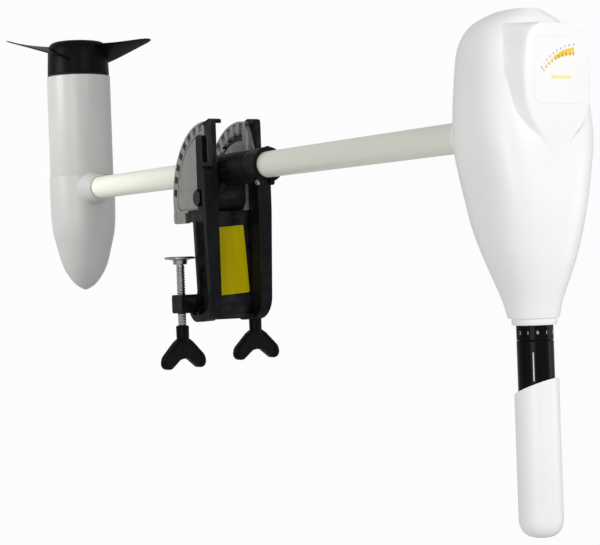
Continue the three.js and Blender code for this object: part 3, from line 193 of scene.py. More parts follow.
# Baked enamel on the pod: silvery grey, smooth, under a thin clear coat
grey_enamel = finish(
    "silver_grey_enamel", "#bdbebb", "#b9bab7", 60, 0.34, 0.03, 1.2, 0.004,
    mirror=0.25, **{"Coat Weight": 0.15, "Coat Roughness": 0.25},
)
# Yellow vinyl film: slightly wavy, streaked along its length by the squeegee
yellow_vinyl = finish(
    "yellow_vinyl_film", "#cbba00", "#bfae00", 10, 0.45, 0.05, 3, 0.03, squeeze=(0.15, 1, 1),
    IOR=1.48, mirror=0.06,
)
# Screen-printed inks of the gauge and the dial: thin flat films, a little uneven
black_ink = finish("black_printing_ink", "#2b2b2b", "#202020", 5, 0.5, 0.05, 0.6, 0.005)
yellow_ink = finish("yellow_printing_ink", "#f7d24e", "#f2c236", 6, 0.45, 0.05, 0.6, 0.005)
pale_yellow_ink = finish("pale_yellow_printing_ink", "#f6efb0", "#f3e795", 6, 0.45, 0.05, 0.6, 0.005)
white_ink = finish("white_printing_ink", "#d9d9d6", "#cfcfcc", 5, 0.5, 0.05, 0.6, 0.005)
# Polyester film over the gauge: milky white with a satin face
polyester_film = finish(
    "polyester_gauge_film", "#f9f9f8", "#f6f6f4", 60, 0.3, 0.03, 1.5, 0.003, IOR=1.6, mirror=0.3,
)
# Natural nylon: milky ivory, a little waxy
natural_nylon = finish("natural_nylon", "#e4e1d4", "#d6d2c2", 8, 0.45, 0.06, 0.8, 0.02, IOR=1.53)
# Black rubber: matt and slightly grainy
black_rubber = finish("black_rubber", "#1d1d1d", "#141414", 6, 0.75, 0.06, 0.8, 0.04, IOR=1.52)
# Copper bars of the commutator, turned: warm and bright
turned_copper = finish("turned_copper", "#c07c4a", "#a8683a", 4, 0.32, 0.06, 0.4, 0.02, Metallic=1)
# Stacked steel sheets: dull grey with close lines across the axis
steel_stack = finish(
    "stacked_steel_laminations", "#77787a", "#5f6062", 3, 0.45, 0.08, 0.5, 0.05, squeeze=(8, 1, 1),
    Metallic=0.9,
)
# Sintered ferrite: dark grey and matt, like fired clay
sintered_ferrite = finish("sintered_ferrite", "#3b3b3e", "#303033", 6, 0.7, 0.06, 0.7, 0.04)
# Pressed carbon: near black and fine-grained
pressed_carbon = finish("pressed_carbon", "#2b2b2c", "#1f1f20", 3, 0.6, 0.08, 0.4, 0.03)
# Lacquered circuit board: green with a soft sheen
green_board = finish("green_circuit_board", "#20663a", "#185230", 3, 0.4, 0.05, 0.6, 0.02)


# Bodies in mesh code
TURN_FROM_Z = {
    "x": Matrix.Rotation(pi / 2, 3, "Y"),
    "y": Matrix.Rotation(-pi / 2, 3, "X"),
    "z": Matrix.Identity(3),
}


def moved(mesh, x=0, y=0, z=0):
    bmesh.ops.translate(mesh, verts=mesh.verts, vec=(x, y, z))
    return mesh


def turned_by(mesh, angle, axis):
    bmesh.ops.rotate(mesh, verts=mesh.verts, cent=(0, 0, 0), matrix=Matrix.Rotation(angle, 3, axis))
    return mesh


def outward(mesh):
    """Turns all faces outwards."""
    bmesh.ops.recalc_face_normals(mesh, faces=mesh.faces)
    return mesh


def mirrored(mesh):
    bmesh.ops.scale(mesh, verts=mesh.verts, vec=(1, -1, 1))
    return outward(mesh)


def block(x0, x1, y0, y1, z0, z1):
    mesh = bmesh.new()
    bmesh.ops.create_cube(mesh, size=1)
    bmesh.ops.scale(mesh, verts=mesh.verts, vec=(x1 - x0, y1 - y0, z1 - z0))
    return moved(mesh, (x0 + x1) / 2, (y0 + y1) / 2, (z0 + z1) / 2)


def spun(profile, axis, sides=96):
    """A profile of (radius, place along the axis) points spun round that axis."""
    mesh = bmesh.new()
    points = [mesh.verts.new((radius, 0, along)) for radius, along in profile]
    edges = [mesh.edges.new(pair) for pair in zip(points, points[1:])]
    bmesh.ops.spin(
        mesh, geom=points + edges, cent=(0, 0, 0), axis=(0, 0, 1), angle=FULL_TURN, steps=sides,
        use_merge=True,
    )
    bmesh.ops.remove_doubles(mesh, verts=mesh.verts, dist=MERGE)
    bmesh.ops.rotate(outward(mesh), verts=mesh.verts, cent=(0, 0, 0), matrix=TURN_FROM_Z[axis])
    return mesh


def rod(radius, start, end, axis, sides=64):
    return spun([(0, start), (radius, start), (radius, end), (0, end)], axis, sides)


def pipe(outer, inner, start, end, axis, sides=96):
    return spun([(inner, start), (outer, start), (outer, end), (inner, end), (inner, start)], axis, sides)


def only(kind, grown):
    """The vertices or edges among what an operator gives back."""
    return [item for item in grown if isinstance(item, kind)]


def plate(corners, axis, near, far):
    """A plate with an outline of (a, b, corner radius) points, from near to far along an axis."""
    mesh = bmesh.new()
    spots = {"x": lambda a, b: (near, a, b), "y": lambda a, b: (a, near, b), "z": lambda a, b: (a, b, near)}
    points = [mesh.verts.new(spots[axis](corner[0], corner[1])) for corner in corners]
    mesh.faces.new(points)
    rounding = []
    for index, corner in enumerate(corners):
        if len(corner) > 2 and corner[2]:
            before = points[index - 1].co - points[index].co
            after = points[(index + 1) % len(points)].co - points[index].co
            rounding.append((points[index], corner[2] / tan(before.angle(after) / 2), corner[2]))
    for point, offset, radius in rounding:
        bmesh.ops.bevel(
            mesh, geom=[point], offset=offset, affect="VERTICES", segments=3 + int(radius / 2), profile=0.5,
            material=-1,
        )
    grown = bmesh.ops.extrude_face_region(mesh, geom=mesh.faces[:])["geom"]
    step = {"x": (far - near, 0, 0), "y": (0, far - near, 0), "z": (0, 0, far - near)}[axis]
    bmesh.ops.translate(mesh, verts=only(bmesh.types.BMVert, grown), vec=step)
    return outward(mesh)


def tube_grid(rings, sides):
    """A closed tube of unit radius along X, with a ring of points at each whole place from 0."""
    mesh = bmesh.new()
    bmesh.ops.create_circle(mesh, segments=sides, radius=1)
    bmesh.ops.rotate(mesh, verts=mesh.verts, cent=(0, 0, 0), matrix=TURN_FROM_Z["x"])
    edges = mesh.edges[:]
    first = edges
    for _ in range(rings - 1):
        grown = bmesh.ops.extrude_edge_only(mesh, edges=edges)["geom"]
        edges = only(bmesh.types.BMEdge, grown)
        bmesh.ops.translate(mesh, verts=only(bmesh.types.BMVert, grown), vec=(1, 0, 0))
    bmesh.ops.edgeloop_fill(mesh, edges=first)
    bmesh.ops.edgeloop_fill(mesh, edges=edges)
    return outward(mesh)


def read_curve(table, place):
    """The columns of a table at a place between its rows, on a smooth curve through them."""
    rows = sorted(table)
    index = max(i for i in range(len(rows) - 1) if i == 0 or rows[i][0] <= place)
    low, high = rows[index], rows[index + 1]
    before = rows[index - 1] if index > 0 else low
    after = rows[index + 2] if index + 2 < len(rows) else high
    span = high[0] - low[0]
    t = min(max((place - low[0]) / span, 0), 1)
    values = []
    for column in range(1, len(low)):
        rise_in = (high[column] - before[column]) / (high[0] - before[0]) * span
        rise_out = (after[column] - low[column]) / (after[0] - low[0]) * span
        values.append(
            low[column] * (2 * t**3 - 3 * t**2 + 1) + rise_in * (t**3 - 2 * t**2 + t)
            + high[column] * (3 * t**2 - 2 * t**3) + rise_out * (t**3 - t**2)
        )
    return values


def between_rows(table, steps):
    """Places at each row of a table and at even steps between the rows."""
    places = [row[0] for row in table]
    spans = zip(places, places[1:])
    return [low + (high - low) * step / steps for low, high in spans for step in range(steps)] + places[-1:]


def linked(name, data):
    """A new object in the scene that holds a mesh, a curve, a lamp or a camera."""
    made = bpy.data.objects.new(name, data)
    bpy.context.scene.collection.objects.link(made)
    return made


def combined(operation, body, *tools):
    """Closed bodies joined, cut or intersected by Boolean modifiers."""
    holders = []
    for mesh in (body, *tools):
        holder = linked("tool", bpy.data.meshes.new("tool"))
        mesh.to_mesh(holder.data)
        mesh.free()
        holders.append(holder)
    for tool in holders[1:]:
        modifier = holders[0].modifiers.new("combine", "BOOLEAN")
        modifier.operation = operation
        modifier.solver = "MANIFOLD"
        modifier.object = tool
    bpy.context.view_layer.update()
    result = bmesh.new()
    result.from_object(holders[0], bpy.context.evaluated_depsgraph_get())
    for holder in holders:
        bpy.data.meshes.remove(holder.data)
    bmesh.ops.remove_doubles(result, verts=result.verts, dist=BOOLEAN_MERGE)
    bmesh.ops.dissolve_degenerate(result, edges=result.edges, dist=BOOLEAN_MERGE)
    return result


def joined(body, *others):
    return combined("UNION", body, *others)


def carved(body, *tools):
    return combined("DIFFERENCE", body, *tools)


def kept(body, region):
    return combined("INTERSECT", body, region)


def piece(name, mesh, body, material, stands_for=(), edge=0.4, segments=2, limit=32):
    """Makes a finished piece: edges sharper than a limit in degrees are rounded by some mm."""
    bmesh.ops.scale(outward(mesh), verts=mesh.verts, vec=(MM, MM, MM))
    data = bpy.data.meshes.new(name)
    mesh.to_mesh(data)
    mesh.free()
    data.shade_smooth()
    data.materials.append(material)
    made = linked(name, data)
    if edge:
        rounding = made.modifiers.new("edges", "BEVEL")
        rounding.width = edge * MM
        rounding.segments = segments
        rounding.limit_method = "ANGLE"
        rounding.angle_limit = radians(limit)
        rounding.harden_normals = True
    else:
        data.set_sharp_from_angle(angle=radians(limit))
    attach(made, body)
    if stands_for:
        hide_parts(*stands_for)
    return made


# Clamp walls
def arc_points(radius, start, end, steps):
    """Points on an arc about the pivot, angles in degrees from straight down towards aft."""
    points = []
    for step in range(steps + 1):
        angle = radians(start + (end - start) * step / steps)
        points.append((PIVOT.x - radius * sin(angle), PIVOT.z - radius * cos(angle)))
    return points


def arc_band(inner, outer, start, end, near, far, steps=32):
    corners = arc_points(outer, start, end, steps) + arc_points(inner, end, start, steps)
    return plate(corners, "y", near, far)


def drafted_side():
    """The room outside a wall's rim, whose face leans in downwards and tapers forward."""
    beyond, taper, draft = 70, 0.032, 0.084
    mesh = block(-110, 81, RIM_OUTSIDE, beyond, -28, 60)
    for point in mesh.verts:
        if point.co.y < beyond:
            point.co.y = RIM_OUTSIDE - taper * (point.co.x + 53) + draft * (point.co.z - 52)
    return mesh


def clamp_wall():
    """The port wall: a rim round a web, an arm, a lip over the quadrant's edge and the screw's lug."""
    body = plate([
        (-103, 52, 10), (70, 52, 25), (74, -21, 25), (41, -21, 4), (41, 11.5, 4), (-41.3, 11.5),
        (-41.3, -14, 1), (-55, -14, 1), (-55, 11.5), (-103, 11.5, 6),
    ], "y", WALL_INSIDE, RIM_OUTSIDE)
    pocket = plate([
        (-118, 33), (49, 33), (62, 44, 14), (66, -13, 12), (49, -13, 4), (49, 19.5, 4), (-41, 19.5),
        (-41, -30), (-118, -30),
    ], "y", WEB_OUTSIDE, 50)
    upper_pocket = plate([
        (-118, 26), (-118, 44), (30, 44), (58, 44, 16), (63, 20), (-38, 20),
    ], "y", WEB_OUTSIDE, 50)
    arm = plate([
        (-97, 52), (-152, 52, 1), (-152, 34, 1), (-139, 34, 3), (-132, 43, 4), (-107, 43, 4),
        (-107, 27.5, 4), (-138.5, 27.5, 3), (-138.5, 11.5, 3), (-97, 11.5),
    ], "y", WALL_INSIDE, WEB_OUTSIDE)
    lug = plate([(41, 6, 3), (62, 6, 3), (62, -20, 3), (41, -20, 3)], "y", 30.3, 53)
    slant = plate([(-146, 5.5), (-151.5, 30), (-157, 52), (-172, 52), (-172, 5.5)], "y", 0, 45)
    lip = carved(joined(
        arc_band(87.1, 91.1, 85, 109.5, 18, WEB_OUTSIDE),
        arc_band(82.1, 91.1, 85, 109.5, WALL_INSIDE, WEB_OUTSIDE),
    ), slant)
    body = carved(body, pocket, upper_pocket, drafted_side())
    return carved(
        joined(body, arm, lip, lug),
        moved(rod(BOLT_BORE, 30, 80, "x"), 0, SCREW_Y, SCREW_Z),
        moved(rod(8, 62, 84, "x"), 0, SCREW_Y, SCREW_Z),
        moved(rod(BOLT_BORE, 0, 60, "y"), *PIVOT), moved(rod(SMALL_BORE, 0, 60, "y"), *BRIDGE_BOLT),
    )


# Quadrants: the inner face of each has notches and the pin's track
QUADRANT_RADIUS = 86.5
QUADRANT_INSIDE, TRACK_FLOOR, QUADRANT_OUTSIDE = 19, 23, 25


def quadrant():
    corners = arc_points(QUADRANT_RADIUS, -8, 100, 72) + [
        (-123, 48, 4), (-105, 48, 4), (-98, 29, 4), (-53, 29), (-53, -35), (-41, -35), (-41, -65.5, 4),
        (-53, -65.5),
    ]
    body = plate(corners, "y", QUADRANT_INSIDE, QUADRANT_OUTSIDE)
    tools = [plate([(-180, 38), (-47, 38), (-47, 60), (-180, 60)], "y", 10, TRACK_FLOOR)]
    for notch in range(NOTCHES):
        angle = radians(FIRST_NOTCH + notch * NOTCH_STEP)
        opening = block(-4, 4, 10, 30, -NOTCH_RADIUS - 4.25, -NOTCH_RADIUS + 4.25)
        link = block(-4, 4, 10, TRACK_FLOOR, -NOTCH_RADIUS, -PIN_RADIUS)
        for slot in (opening, link):
            tools.append(moved(turned_by(slot, angle, "Y"), *PIVOT))
    swing, past = NOTCH_STEP * (NOTCHES - 1), 3.4
    tools.append(arc_band(63.9, 72.1, FIRST_NOTCH - past, FIRST_NOTCH + swing + past, 10, TRACK_FLOOR, 48))
    tools.append(moved(rod(BOLT_BORE, 0, 40, "y"), *PIVOT))
    # A groove follows the outer face's edge, and a short one crosses its foot
    outer = plate(arc_points(73.8, -6, 84, 40) + [(-88, 13, 2), (-56, 13, 2), (-56, -48, 3)], "y", 23.4, 30)
    inner = plate(
        arc_points(72.6, -5, 83, 40) + [(-88, 11.8, 2), (-57.2, 11.8, 2), (-57.2, -47, 2)], "y", 23, 30.5,
    )
    tools.append(carved(outer, inner))
    tools.append(block(-55, -40, 24.6, 30, -58.2, -57.4))
    return carved(body, *tools)


def track_lining():
    """A thin black strip on the floor of the track in which the lock pin's end runs: painted shade in the
    recess.
    """
    return arc_band(64.3, 71.7, 3.6, 96.8, 22.75, 22.99, 48)


for side in ("port", "starboard"):
    wall, teeth = clamp_wall(), quadrant()
    if side == "starboard":
        mirrored(wall)
        mirrored(teeth)
    piece(
        f"wall_casting_{side}", wall, "transom_clamp", powder_coat, [f"clamp_wall_{side}"],
        0.7,
    )
    piece(
        f"toothed_quadrant_{side}", teeth, "transom_clamp", die_cast, [f"quadrant_{side}"],
        0.35,
    )
# Black strips on the floors of both tracks: painted shade that darkens the quadrants' recesses
piece("track_shade_strip_port", track_lining(), "transom_clamp", black_rubber, edge=0)
piece("track_shade_strip_starboard", mirrored(track_lining()), "transom_clamp", black_rubber, edge=0)


# Clamp bridge and label
def clamp_bridge():
    """A deck between the walls with two pockets under it, a lip at its front and a shelf behind."""
    side = WALL_INSIDE
    deck = plate([(-52.4, -side), (70, -side), (70, side), (-52.4, side)], "z", 0, 25)
    lip = plate([(65, -side), (70, -side), (70, side), (65, side)], "z", 20, 30)
    shelf = block(-60.5, -50, -18.5, 18.5, 0, 4)
    pockets = [block(-47.4, 49, 6, 20.3, -6, 20), block(-47.4, 49, -20.3, -6, -6, 20)]
    return carved(joined(deck, lip, shelf), *pockets, moved(rod(SMALL_BORE, -40, 40, "y"), *BRIDGE_BOLT))


def bridge_label():
    """The film lies flat and skewed, with a shallow bulge along one edge, where it has lifted a little."""
    end, edge, cut_step = 38.5, 20, 2
    bulge_height, bulge_y, bulge_width = 0.25, 12, 3
    mesh = plate([(-end, -edge, 2), (end, -edge, 2), (end, edge, 2), (-end, edge, 2)], "z", 0, 0.5)
    for across in range(cut_step - edge, edge, cut_step):
        bmesh.ops.bisect_plane(
            mesh, geom=mesh.verts[:] + mesh.edges[:] + mesh.faces[:], plane_co=(0, across, 0),
            plane_no=(0, 1, 0),
        )
    for point in mesh.verts:
        if point.co.z > 0.2:
            point.co.z += bulge_height * exp(-(((point.co.y - bulge_y) / bulge_width) ** 2))
    return moved(turned_by(mesh, 0.07, "Z"), 3.5, 1.5, 25.02)


piece(
    "bridge_casting", clamp_bridge(), "transom_clamp", powder_coat, ["clamp_bridge"], 0.9,
)
piece("yellow_label", bridge_label(), "transom_clamp", yellow_vinyl, ["bridge_label"], 0)


def hexagon(flats):
    corner = flats / sqrt(3)
    return [(corner * cos(side * pi / 3), corner * sin(side * pi / 3)) for side in range(6)]


def chamfered_hex(flats, axis, near, far):
    """A hexagon whose corners are turned down to a cone at both ends."""
    corner = flats / sqrt(3)
    cone = spun([
        (0, near), (corner * 0.88, near), (corner + 0.1, near + corner * 0.1),
        (corner + 0.1, far - corner * 0.1), (corner * 0.88, far), (0, far),
    ], axis, 48)
    return kept(plate(hexagon(flats), axis, near, far), cone)


def cross_bolt(radius, flats, height, reach):
    """A bolt along Y with a washer and a hexagon head to starboard, reach mm out from the middle."""
    washer = pipe(flats * 0.58, radius - 0.5, -reach - 1, -reach, "y", 48)
    head = chamfered_hex(flats, "y", -reach - height, -reach - 0.8)
    return joined(rod(radius, -reach - 1, reach + height + 2, "y", 48), head, washer)


def pivot_nut():
    """A hexagon nut with a lock nut's round collar."""
    nut = joined(chamfered_hex(17, "y", 31.6, 38), rod(6.6, 37, 39.6, "y", 48))
    return carved(nut, rod(BOLT_BORE, 20, 50, "y", 48))


piece(
    "bridge_cross_bolt", moved(cross_bolt(3, 10.2, 4.2, 31.6), *BRIDGE_BOLT), "transom_clamp", black_oxide,
    ["bridge_bolt"], 0.2,
)
piece(
    "pivot_cross_bolt", moved(cross_bolt(5, 17, 6, 31.6), *PIVOT), "transom_clamp", black_oxide,
    ["pivot_bolt"], 0.3,
)
piece(
    "pivot_lock_nut", moved(pivot_nut(), *PIVOT), "transom_clamp", black_oxide, ["pivot_nut"],
    0.3,
)


# Clamp screws, pads and handles, made on the X axis. SCREW_END is measured from the pad's face, and half
# the wings' outline is given in shares of their span
SCREW_END = 90.5
THREAD_PITCH = 3
THREAD_DEPTH = 0.9
HANDLE_SPAN = 66
HANDLE_HALF = [
    (0, 0.105), (0.06, 0.2, 2), (0.3, 0.47, 9), (0.47, 0.515, 7), (0.53, 0.36, 7), (0.36, 0.12, 7),
    (0.34, 0, 2),
]


def threaded_rod(start, end, radius, bare):
    """A rod along X whose skin is drawn in and out along a helix, bare for some mm at its start."""
    rings_per_mm = 2.5
    rings = int((end - start) * rings_per_mm)
    mesh = tube_grid(rings, 40)
    for point in mesh.verts:
        along = start + (end - start) * point.co.x / (rings - 1)
        angle = atan2(point.co.z, point.co.y)
        phase = ((along - start) / THREAD_PITCH + angle / FULL_TURN) % 1
        depth = THREAD_DEPTH * (1 - abs(2 * phase - 1)) if along > start + bare else THREAD_DEPTH / 2
        if along > end - 0.8:
            depth = 1.2
        point.co = (along, (radius - depth) * cos(angle), (radius - depth) * sin(angle))
    return mesh


def clamp_pad(face):
    """A dished pad with a raised rim and a neck that takes the screw's end."""
    return spun([
        (0, face), (12, face), (12.6, face + 0.5), (16, face), (18, face + 1.5), (18, face + 2.5),
        (8.5, face + 4), (7.5, face + 9), (4, face + 9), (4, face + 4), (0, face + 4),
    ], "x")


def clamp_handle(face, turn):
    """Two rounded wings with dished faces on a stem that is bored for the screw."""
    stem_start = face + SCREW_END - 12
    stem_end = stem_start + 15
    stem = spun([
        (0, stem_start), (6.4, stem_start), (7.4, stem_start + 1), (7.2, stem_end - 1), (6.6, stem_end + 6),
        (0, stem_end + 6),
    ], "x")
    outline = [(stem_end + a * HANDLE_SPAN, b * HANDLE_SPAN, *r) for a, b, *r in HANDLE_HALF]
    outline += [(x, -y, *r) for x, y, *r in reversed(outline[:-1])]
    wing = plate(outline, "z", -5, 5)
    rims = [
        edge for edge in wing.edges
        if edge.calc_face_angle(0) > 1 and abs(edge.verts[0].co.z) > 4.9
        and abs(edge.verts[0].co.z - edge.verts[1].co.z) < 0.1
    ]
    bmesh.ops.bevel(wing, geom=rims, offset=2, affect="EDGES", segments=5, profile=0.5, material=-1)
    centre = stem_end + 0.25 * HANDLE_SPAN
    dish = [
        (centre + (x - centre) * 0.82, y * 0.8, *[max(corner - 1.5, 0.5) for corner in r])
        for x, y, *r in outline
    ]
    dishes = [plate(dish, "z", 4.2, 8), plate(dish, "z", -8, -4.2)]
    body = joined(stem, carved(wing, *dishes))
    body = carved(body, rod(BOLT_BORE, stem_start - 6, face + SCREW_END + 0.3, "x"))
    return turned_by(body, turn, "X")


for side, y, face, turn in (("starboard", -SCREW_Y, -2.5, -19), ("port", SCREW_Y, -8.5, -13)):
    piece(
        f"swivel_pad_{side}", moved(clamp_pad(face), 0, y, SCREW_Z), f"pad_{side}", turned_steel,
        [f"clamp_pad_{side}"], 0.25,
    )
    screw = joined(
        threaded_rod(face + 9.6, face + SCREW_END, 5, 2), rod(3.6, face + 4.3, face + 11, "x", 40),
    )
    piece(
        f"threaded_screw_{side}", moved(screw, 0, y, SCREW_Z), f"screw_{side}", turned_steel,
        [f"clamp_screw_{side}"], 0, limit=60,
    )
    piece(
        f"wing_handle_{side}", moved(clamp_handle(face, radians(turn)), 0, y, SCREW_Z),
        f"screw_{side}", moulded_nylon, [f"clamp_handle_{side}"], 0.5,
    )


# Tilt yoke, lock, tension knob and collar. The yoke is made with the pivot as its origin
SLEEVE_X = SHAFT_X - PIVOT.x
YOKE_HALF = 18.4
TENSION_Z = 86
TENSION_TURN = radians(33)
COLLAR_LOW, COLLAR_HIGH = 105.3, 125.3
COLLAR_SCREW_X, COLLAR_SCREW_Z = 18.7, 115.3


def leaned(mesh):
    """Turns a mesh made straight below the pivot to the first notch, where the yoke hangs at rest."""
    return turned_by(mesh, radians(FIRST_NOTCH), "Y")


def tilt_yoke():
    """A sleeve for the shaft, with ears on the pivot bolt and a slotted guide for the lock pin below."""
    sleeve = spun([
        (0, -67), (17.6, -67), (YOKE_HALF, -66), (YOKE_HALF, 74), (17.9, 75), (YOKE_HALF, 76),
        (YOKE_HALF, 83), (17.6, 84), (0, 84),
    ], "z")
    moved(sleeve, SLEEVE_X)
    ears = plate(
        [(SLEEVE_X, -14), (14, -14, 13.5), (14, 14, 13.5), (SLEEVE_X, 14)], "y", -YOKE_HALF, YOKE_HALF,
    )
    guide = leaned(block(-9, 8, -YOKE_HALF, YOKE_HALF, -84, -7))
    ribs = [leaned(block(-12, -8.5, y - 1.2, y + 1.2, -80, -10)) for y in (-14, 14)]
    flank = block(SLEEVE_X, -8.6, -11, 11, -67, -14)
    tools = [
        moved(rod(16.2, -73, 90, "z"), SLEEVE_X),
        leaned(block(-3.8, 3.8, -25, 25, -83.8, -64.2)),
        leaned(block(-15, 14, -9, 9, -90, -61)),
        rod(BOLT_BORE, -25, 25, "y"),
        moved(turned_by(rod(SMALL_BORE, 0, 36, "y"), TENSION_TURN, "Z"), SLEEVE_X, 0, TENSION_Z - PIVOT.z),
    ]
    return moved(carved(joined(sleeve, ears, guide, flank, *ribs), *tools), *PIVOT)


def finger_tab():
    """The tab on the lock pin is ribbed for a finger."""
    body = joined(rod(6, -8, 8, "y"), plate([(-2, -34, 1), (2, -34, 1), (2, 0), (-2, 0)], "y", -8, 8))
    ridges = [block(-2.8, 2.8, -6.5, 6.5, -31 + 3 * step, -30 + 3 * step) for step in range(5)]
    body = carved(joined(body, *ridges), rod(3.8, -14, 14, "y"))
    return moved(leaned(moved(body, 0, 0, -PIN_RADIUS)), *PIVOT)


def lock_pin():
    mesh = spun([(0, -22.7), (2.7, -22.7), (3.5, -21.7), (3.5, 21.7), (2.7, 22.7), (0, 22.7)], "y", 48)
    return moved(leaned(moved(mesh, 0, 0, -PIN_RADIUS)), *PIVOT)


def knob():
    """A round knob with twelve finger grooves on the tension screw."""
    grooves = 12
    body = spun([
        (0, 19.4), (6.5, 19.4), (7.2, 20), (7.4, 21.6), (8.5, 22.4), (8.5, 29.2), (7.6, 30.2), (4, 30.4),
        (0, 30.4),
    ], "y")
    cutters = [
        turned_by(moved(rod(0.9, 22, 34, "y", 16), 8.9), step * FULL_TURN / grooves, "Y")
        for step in range(grooves)
    ]
    body = carved(body, *cutters, rod(SMALL_BORE, 0, 26.7, "y", 32))
    return moved(turned_by(body, TENSION_TURN, "Z"), SHAFT_X, 0, TENSION_Z)


def depth_collar():
    """A split ring, and the lug of its screw with room for the screw's head."""
    ring = pipe(19.3, SHAFT_BORE, COLLAR_LOW, COLLAR_HIGH, "z")
    lug = carved(
        plate([(12, -7), (22.5, -7, 2.5), (22.5, 7, 2.5), (12, 7)], "z", COLLAR_LOW, COLLAR_HIGH),
        rod(SHAFT_BORE, 100, 130, "z"),
    )
    split = block(10, 40, -1.5, 1.5, 100, 130)
    screw_hole = moved(rod(2.3, -14, 14, "y", 32), COLLAR_SCREW_X, 0, COLLAR_SCREW_Z)
    head_room = block(14.85, 40, -40, -7, 111.6, 119)
    return moved(carved(joined(ring, lug), split, screw_hole, head_room), SHAFT_X)


def collar_screw():
    """A socket screw across the collar's lug, its head to starboard."""
    head = spun([(0, -7.3), (3.4, -7.3), (3.4, -9.2), (2.9, -10), (0, -10)], "y", 48)
    socket = plate(hexagon(3), "y", -12, -8.4)
    screw = joined(carved(head, socket), rod(2, -7.4, 7, "y", 32))
    return moved(screw, SHAFT_X + COLLAR_SCREW_X, 0, COLLAR_SCREW_Z)


piece("yoke_casting", tilt_yoke(), "yoke", powder_coat, ["tilt_yoke"], 0.6)
piece("cross_pin", lock_pin(), "lock", turned_steel, ["lock_pin"], 0.15)
piece("finger_tab", finger_tab(), "lock", moulded_nylon, ["lock_tab"], 0.4)
piece("brake_knob", knob(), "tension", moulded_nylon, ["tension_knob"], 0.3)
piece("split_collar", depth_collar(), "collar", powder_coat, ["depth_collar"], 0.7)
piece("collar_socket_screw", collar_screw(), "collar", turned_steel, ["collar_screw"], 0.2)

# Shaft
shaft = moved(pipe(14.3, 11.1, -375.7, 538.7, "z", 128), SHAFT_X)
piece("composite_shaft", shaft, "drive", gel_coat, ["shaft_tube"], 0.3)

# Motor pod, made round the X axis. The nose's rows are a share of its length and the radius there
NOSE_START, NOSE_LENGTH = -18, 152
NOSE_ROWS = [
    (0, 43), (0.28, 43), (0.4, 42.3), (0.5, 40.6), (0.62, 36.4), (0.78, 29.7), (0.88, 21.9), (0.95, 13.3),
    (0.985, 5.6), (1, 0),
]


def nose_casting():
    """A hollow nose with a spigot for the motor tube and a tapering boss round the shaft."""
    outer = [
        (max(read_curve(NOSE_ROWS, share)[0], 0), NOSE_START + NOSE_LENGTH * share)
        for share in between_rows(NOSE_ROWS, 6)
    ]
    outer[-1] = (0, NOSE_START + NOSE_LENGTH)
    room = [(39.5, -24), (39.5, 42), (32.8, 68), (19.8, 102), (0, 123)]
    shell = carved(spun([(0, NOSE_START), *outer], "x", 128), spun([(0, -24), *room], "x"))
    boss = spun([
        (0, 20), (24.5, 20), (22.5, 39), (21, 44), (19.6, 50), (18.5, 56), (17.7, 61), (17.3, 63.6),
        (16.4, 65), (0, 65),
    ], "z")
    body = joined(shell, rod(42, 20, 28, "x", 96), boss)
    tie_holes = [moved(rod(2.3, 14, 34, "x", 32), 0, y) for y in (-31, 31)]
    body = carved(
        body, rod(13.3, 14, 34, "x"), rod(SHAFT_BORE, 24, 70, "z"), rod(4.8, 0, 30, "z"), *tie_holes,
    )
    return moved(body, *POD)


piece("nose_casting", nose_casting(), "drive", grey_enamel, ["nose_cone"], 0.5)
tube = spun([
    (39, -151.3), (41.6, -151.3), (42, -150.8), (42, -19.4), (41.5, -18), (39, -18), (39, -151.3),
], "x", 128)
piece("motor_shell", moved(tube, *POD), "drive", grey_enamel, ["motor_tube"], 0.2)

# Propeller. A blade's rows: share from root to tip, then shares of the chord, the shift and the thickness
BLADES = 3
BLADE_ROOT, BLADE_TIP = 39, 108
BLADE_CHORD, BLADE_THICKNESS = 54, 4
BLADE_ROWS = [
    (0, 1, 0.14, 1), (0.16, 0.88, 0.11, 0.9), (0.36, 0.72, 0.07, 0.75), (0.58, 0.56, 0.03, 0.6),
    (0.8, 0.4, 0, 0.5), (0.92, 0.28, 0, 0.42), (0.98, 0.16, 0, 0.32), (1, 0.06, 0, 0.2),
]


def propeller_blade(turn):
    """Sections from root to tip, each wrapped about the hub and pitched, then rounded off at the tip."""
    places = between_rows(BLADE_ROWS, 5)
    mesh = tube_grid(len(places), 28)
    for point in mesh.verts:
        out = places[round(point.co.x)]
        wide, shift, thick = read_curve(BLADE_ROWS, out)
        angle = atan2(point.co.z, point.co.y)
        across = 0.5 * cos(angle) * BLADE_CHORD * wide
        depth = 0.5 * sin(angle) * BLADE_THICKNESS * thick
        pitch = radians(24 - 13 * out)
        radius = BLADE_ROOT + (BLADE_TIP - BLADE_ROOT) * out
        x = -181 - 13 * out + across * sin(pitch) + depth * cos(pitch)
        sweep = (depth * sin(pitch) - (across + shift * BLADE_CHORD) * cos(pitch)) / radius
        point.co = (x, radius * cos(sweep), radius * sin(sweep))
    return turned_by(outward(mesh), turn, "X")


def propeller():
    """A cup-shaped hub, slotted for the drive pin, with its blades."""
    cup = spun([
        (5.3, -186), (14, -186), (14, -197), (15, -198), (28, -198), (32.6, -197.2), (35.8, -195.4),
        (38, -192.4), (39.2, -188), (39.9, -182), (41, -155), (37, -155), (34.8, -186), (32.2, -191),
        (18, -191), (18, -182), (14, -182), (14, -163), (5.3, -163), (5.3, -186),
    ], "x", 128)
    blades = [propeller_blade(radians(50) + blade * FULL_TURN / BLADES) for blade in range(BLADES)]
    pin_slot = block(-168, -149, -31, 31, -2.3, 2.3)
    return moved(carved(joined(cup, *blades), pin_slot), *POD)


piece("three_blade_propeller", propeller(), "rotor", moulded_nylon, ["propeller"], 0.5, 3)
nut = carved(
    joined(chamfered_hex(17, "x", -196, -190), rod(6.8, -190.5, -188, "x", 48)),
    rod(BOLT_BORE, -200, -180, "x", 48),
)
piece("propeller_lock_nut", moved(nut, *POD), "rotor", turned_steel, ["propeller_nut"], 0.3)

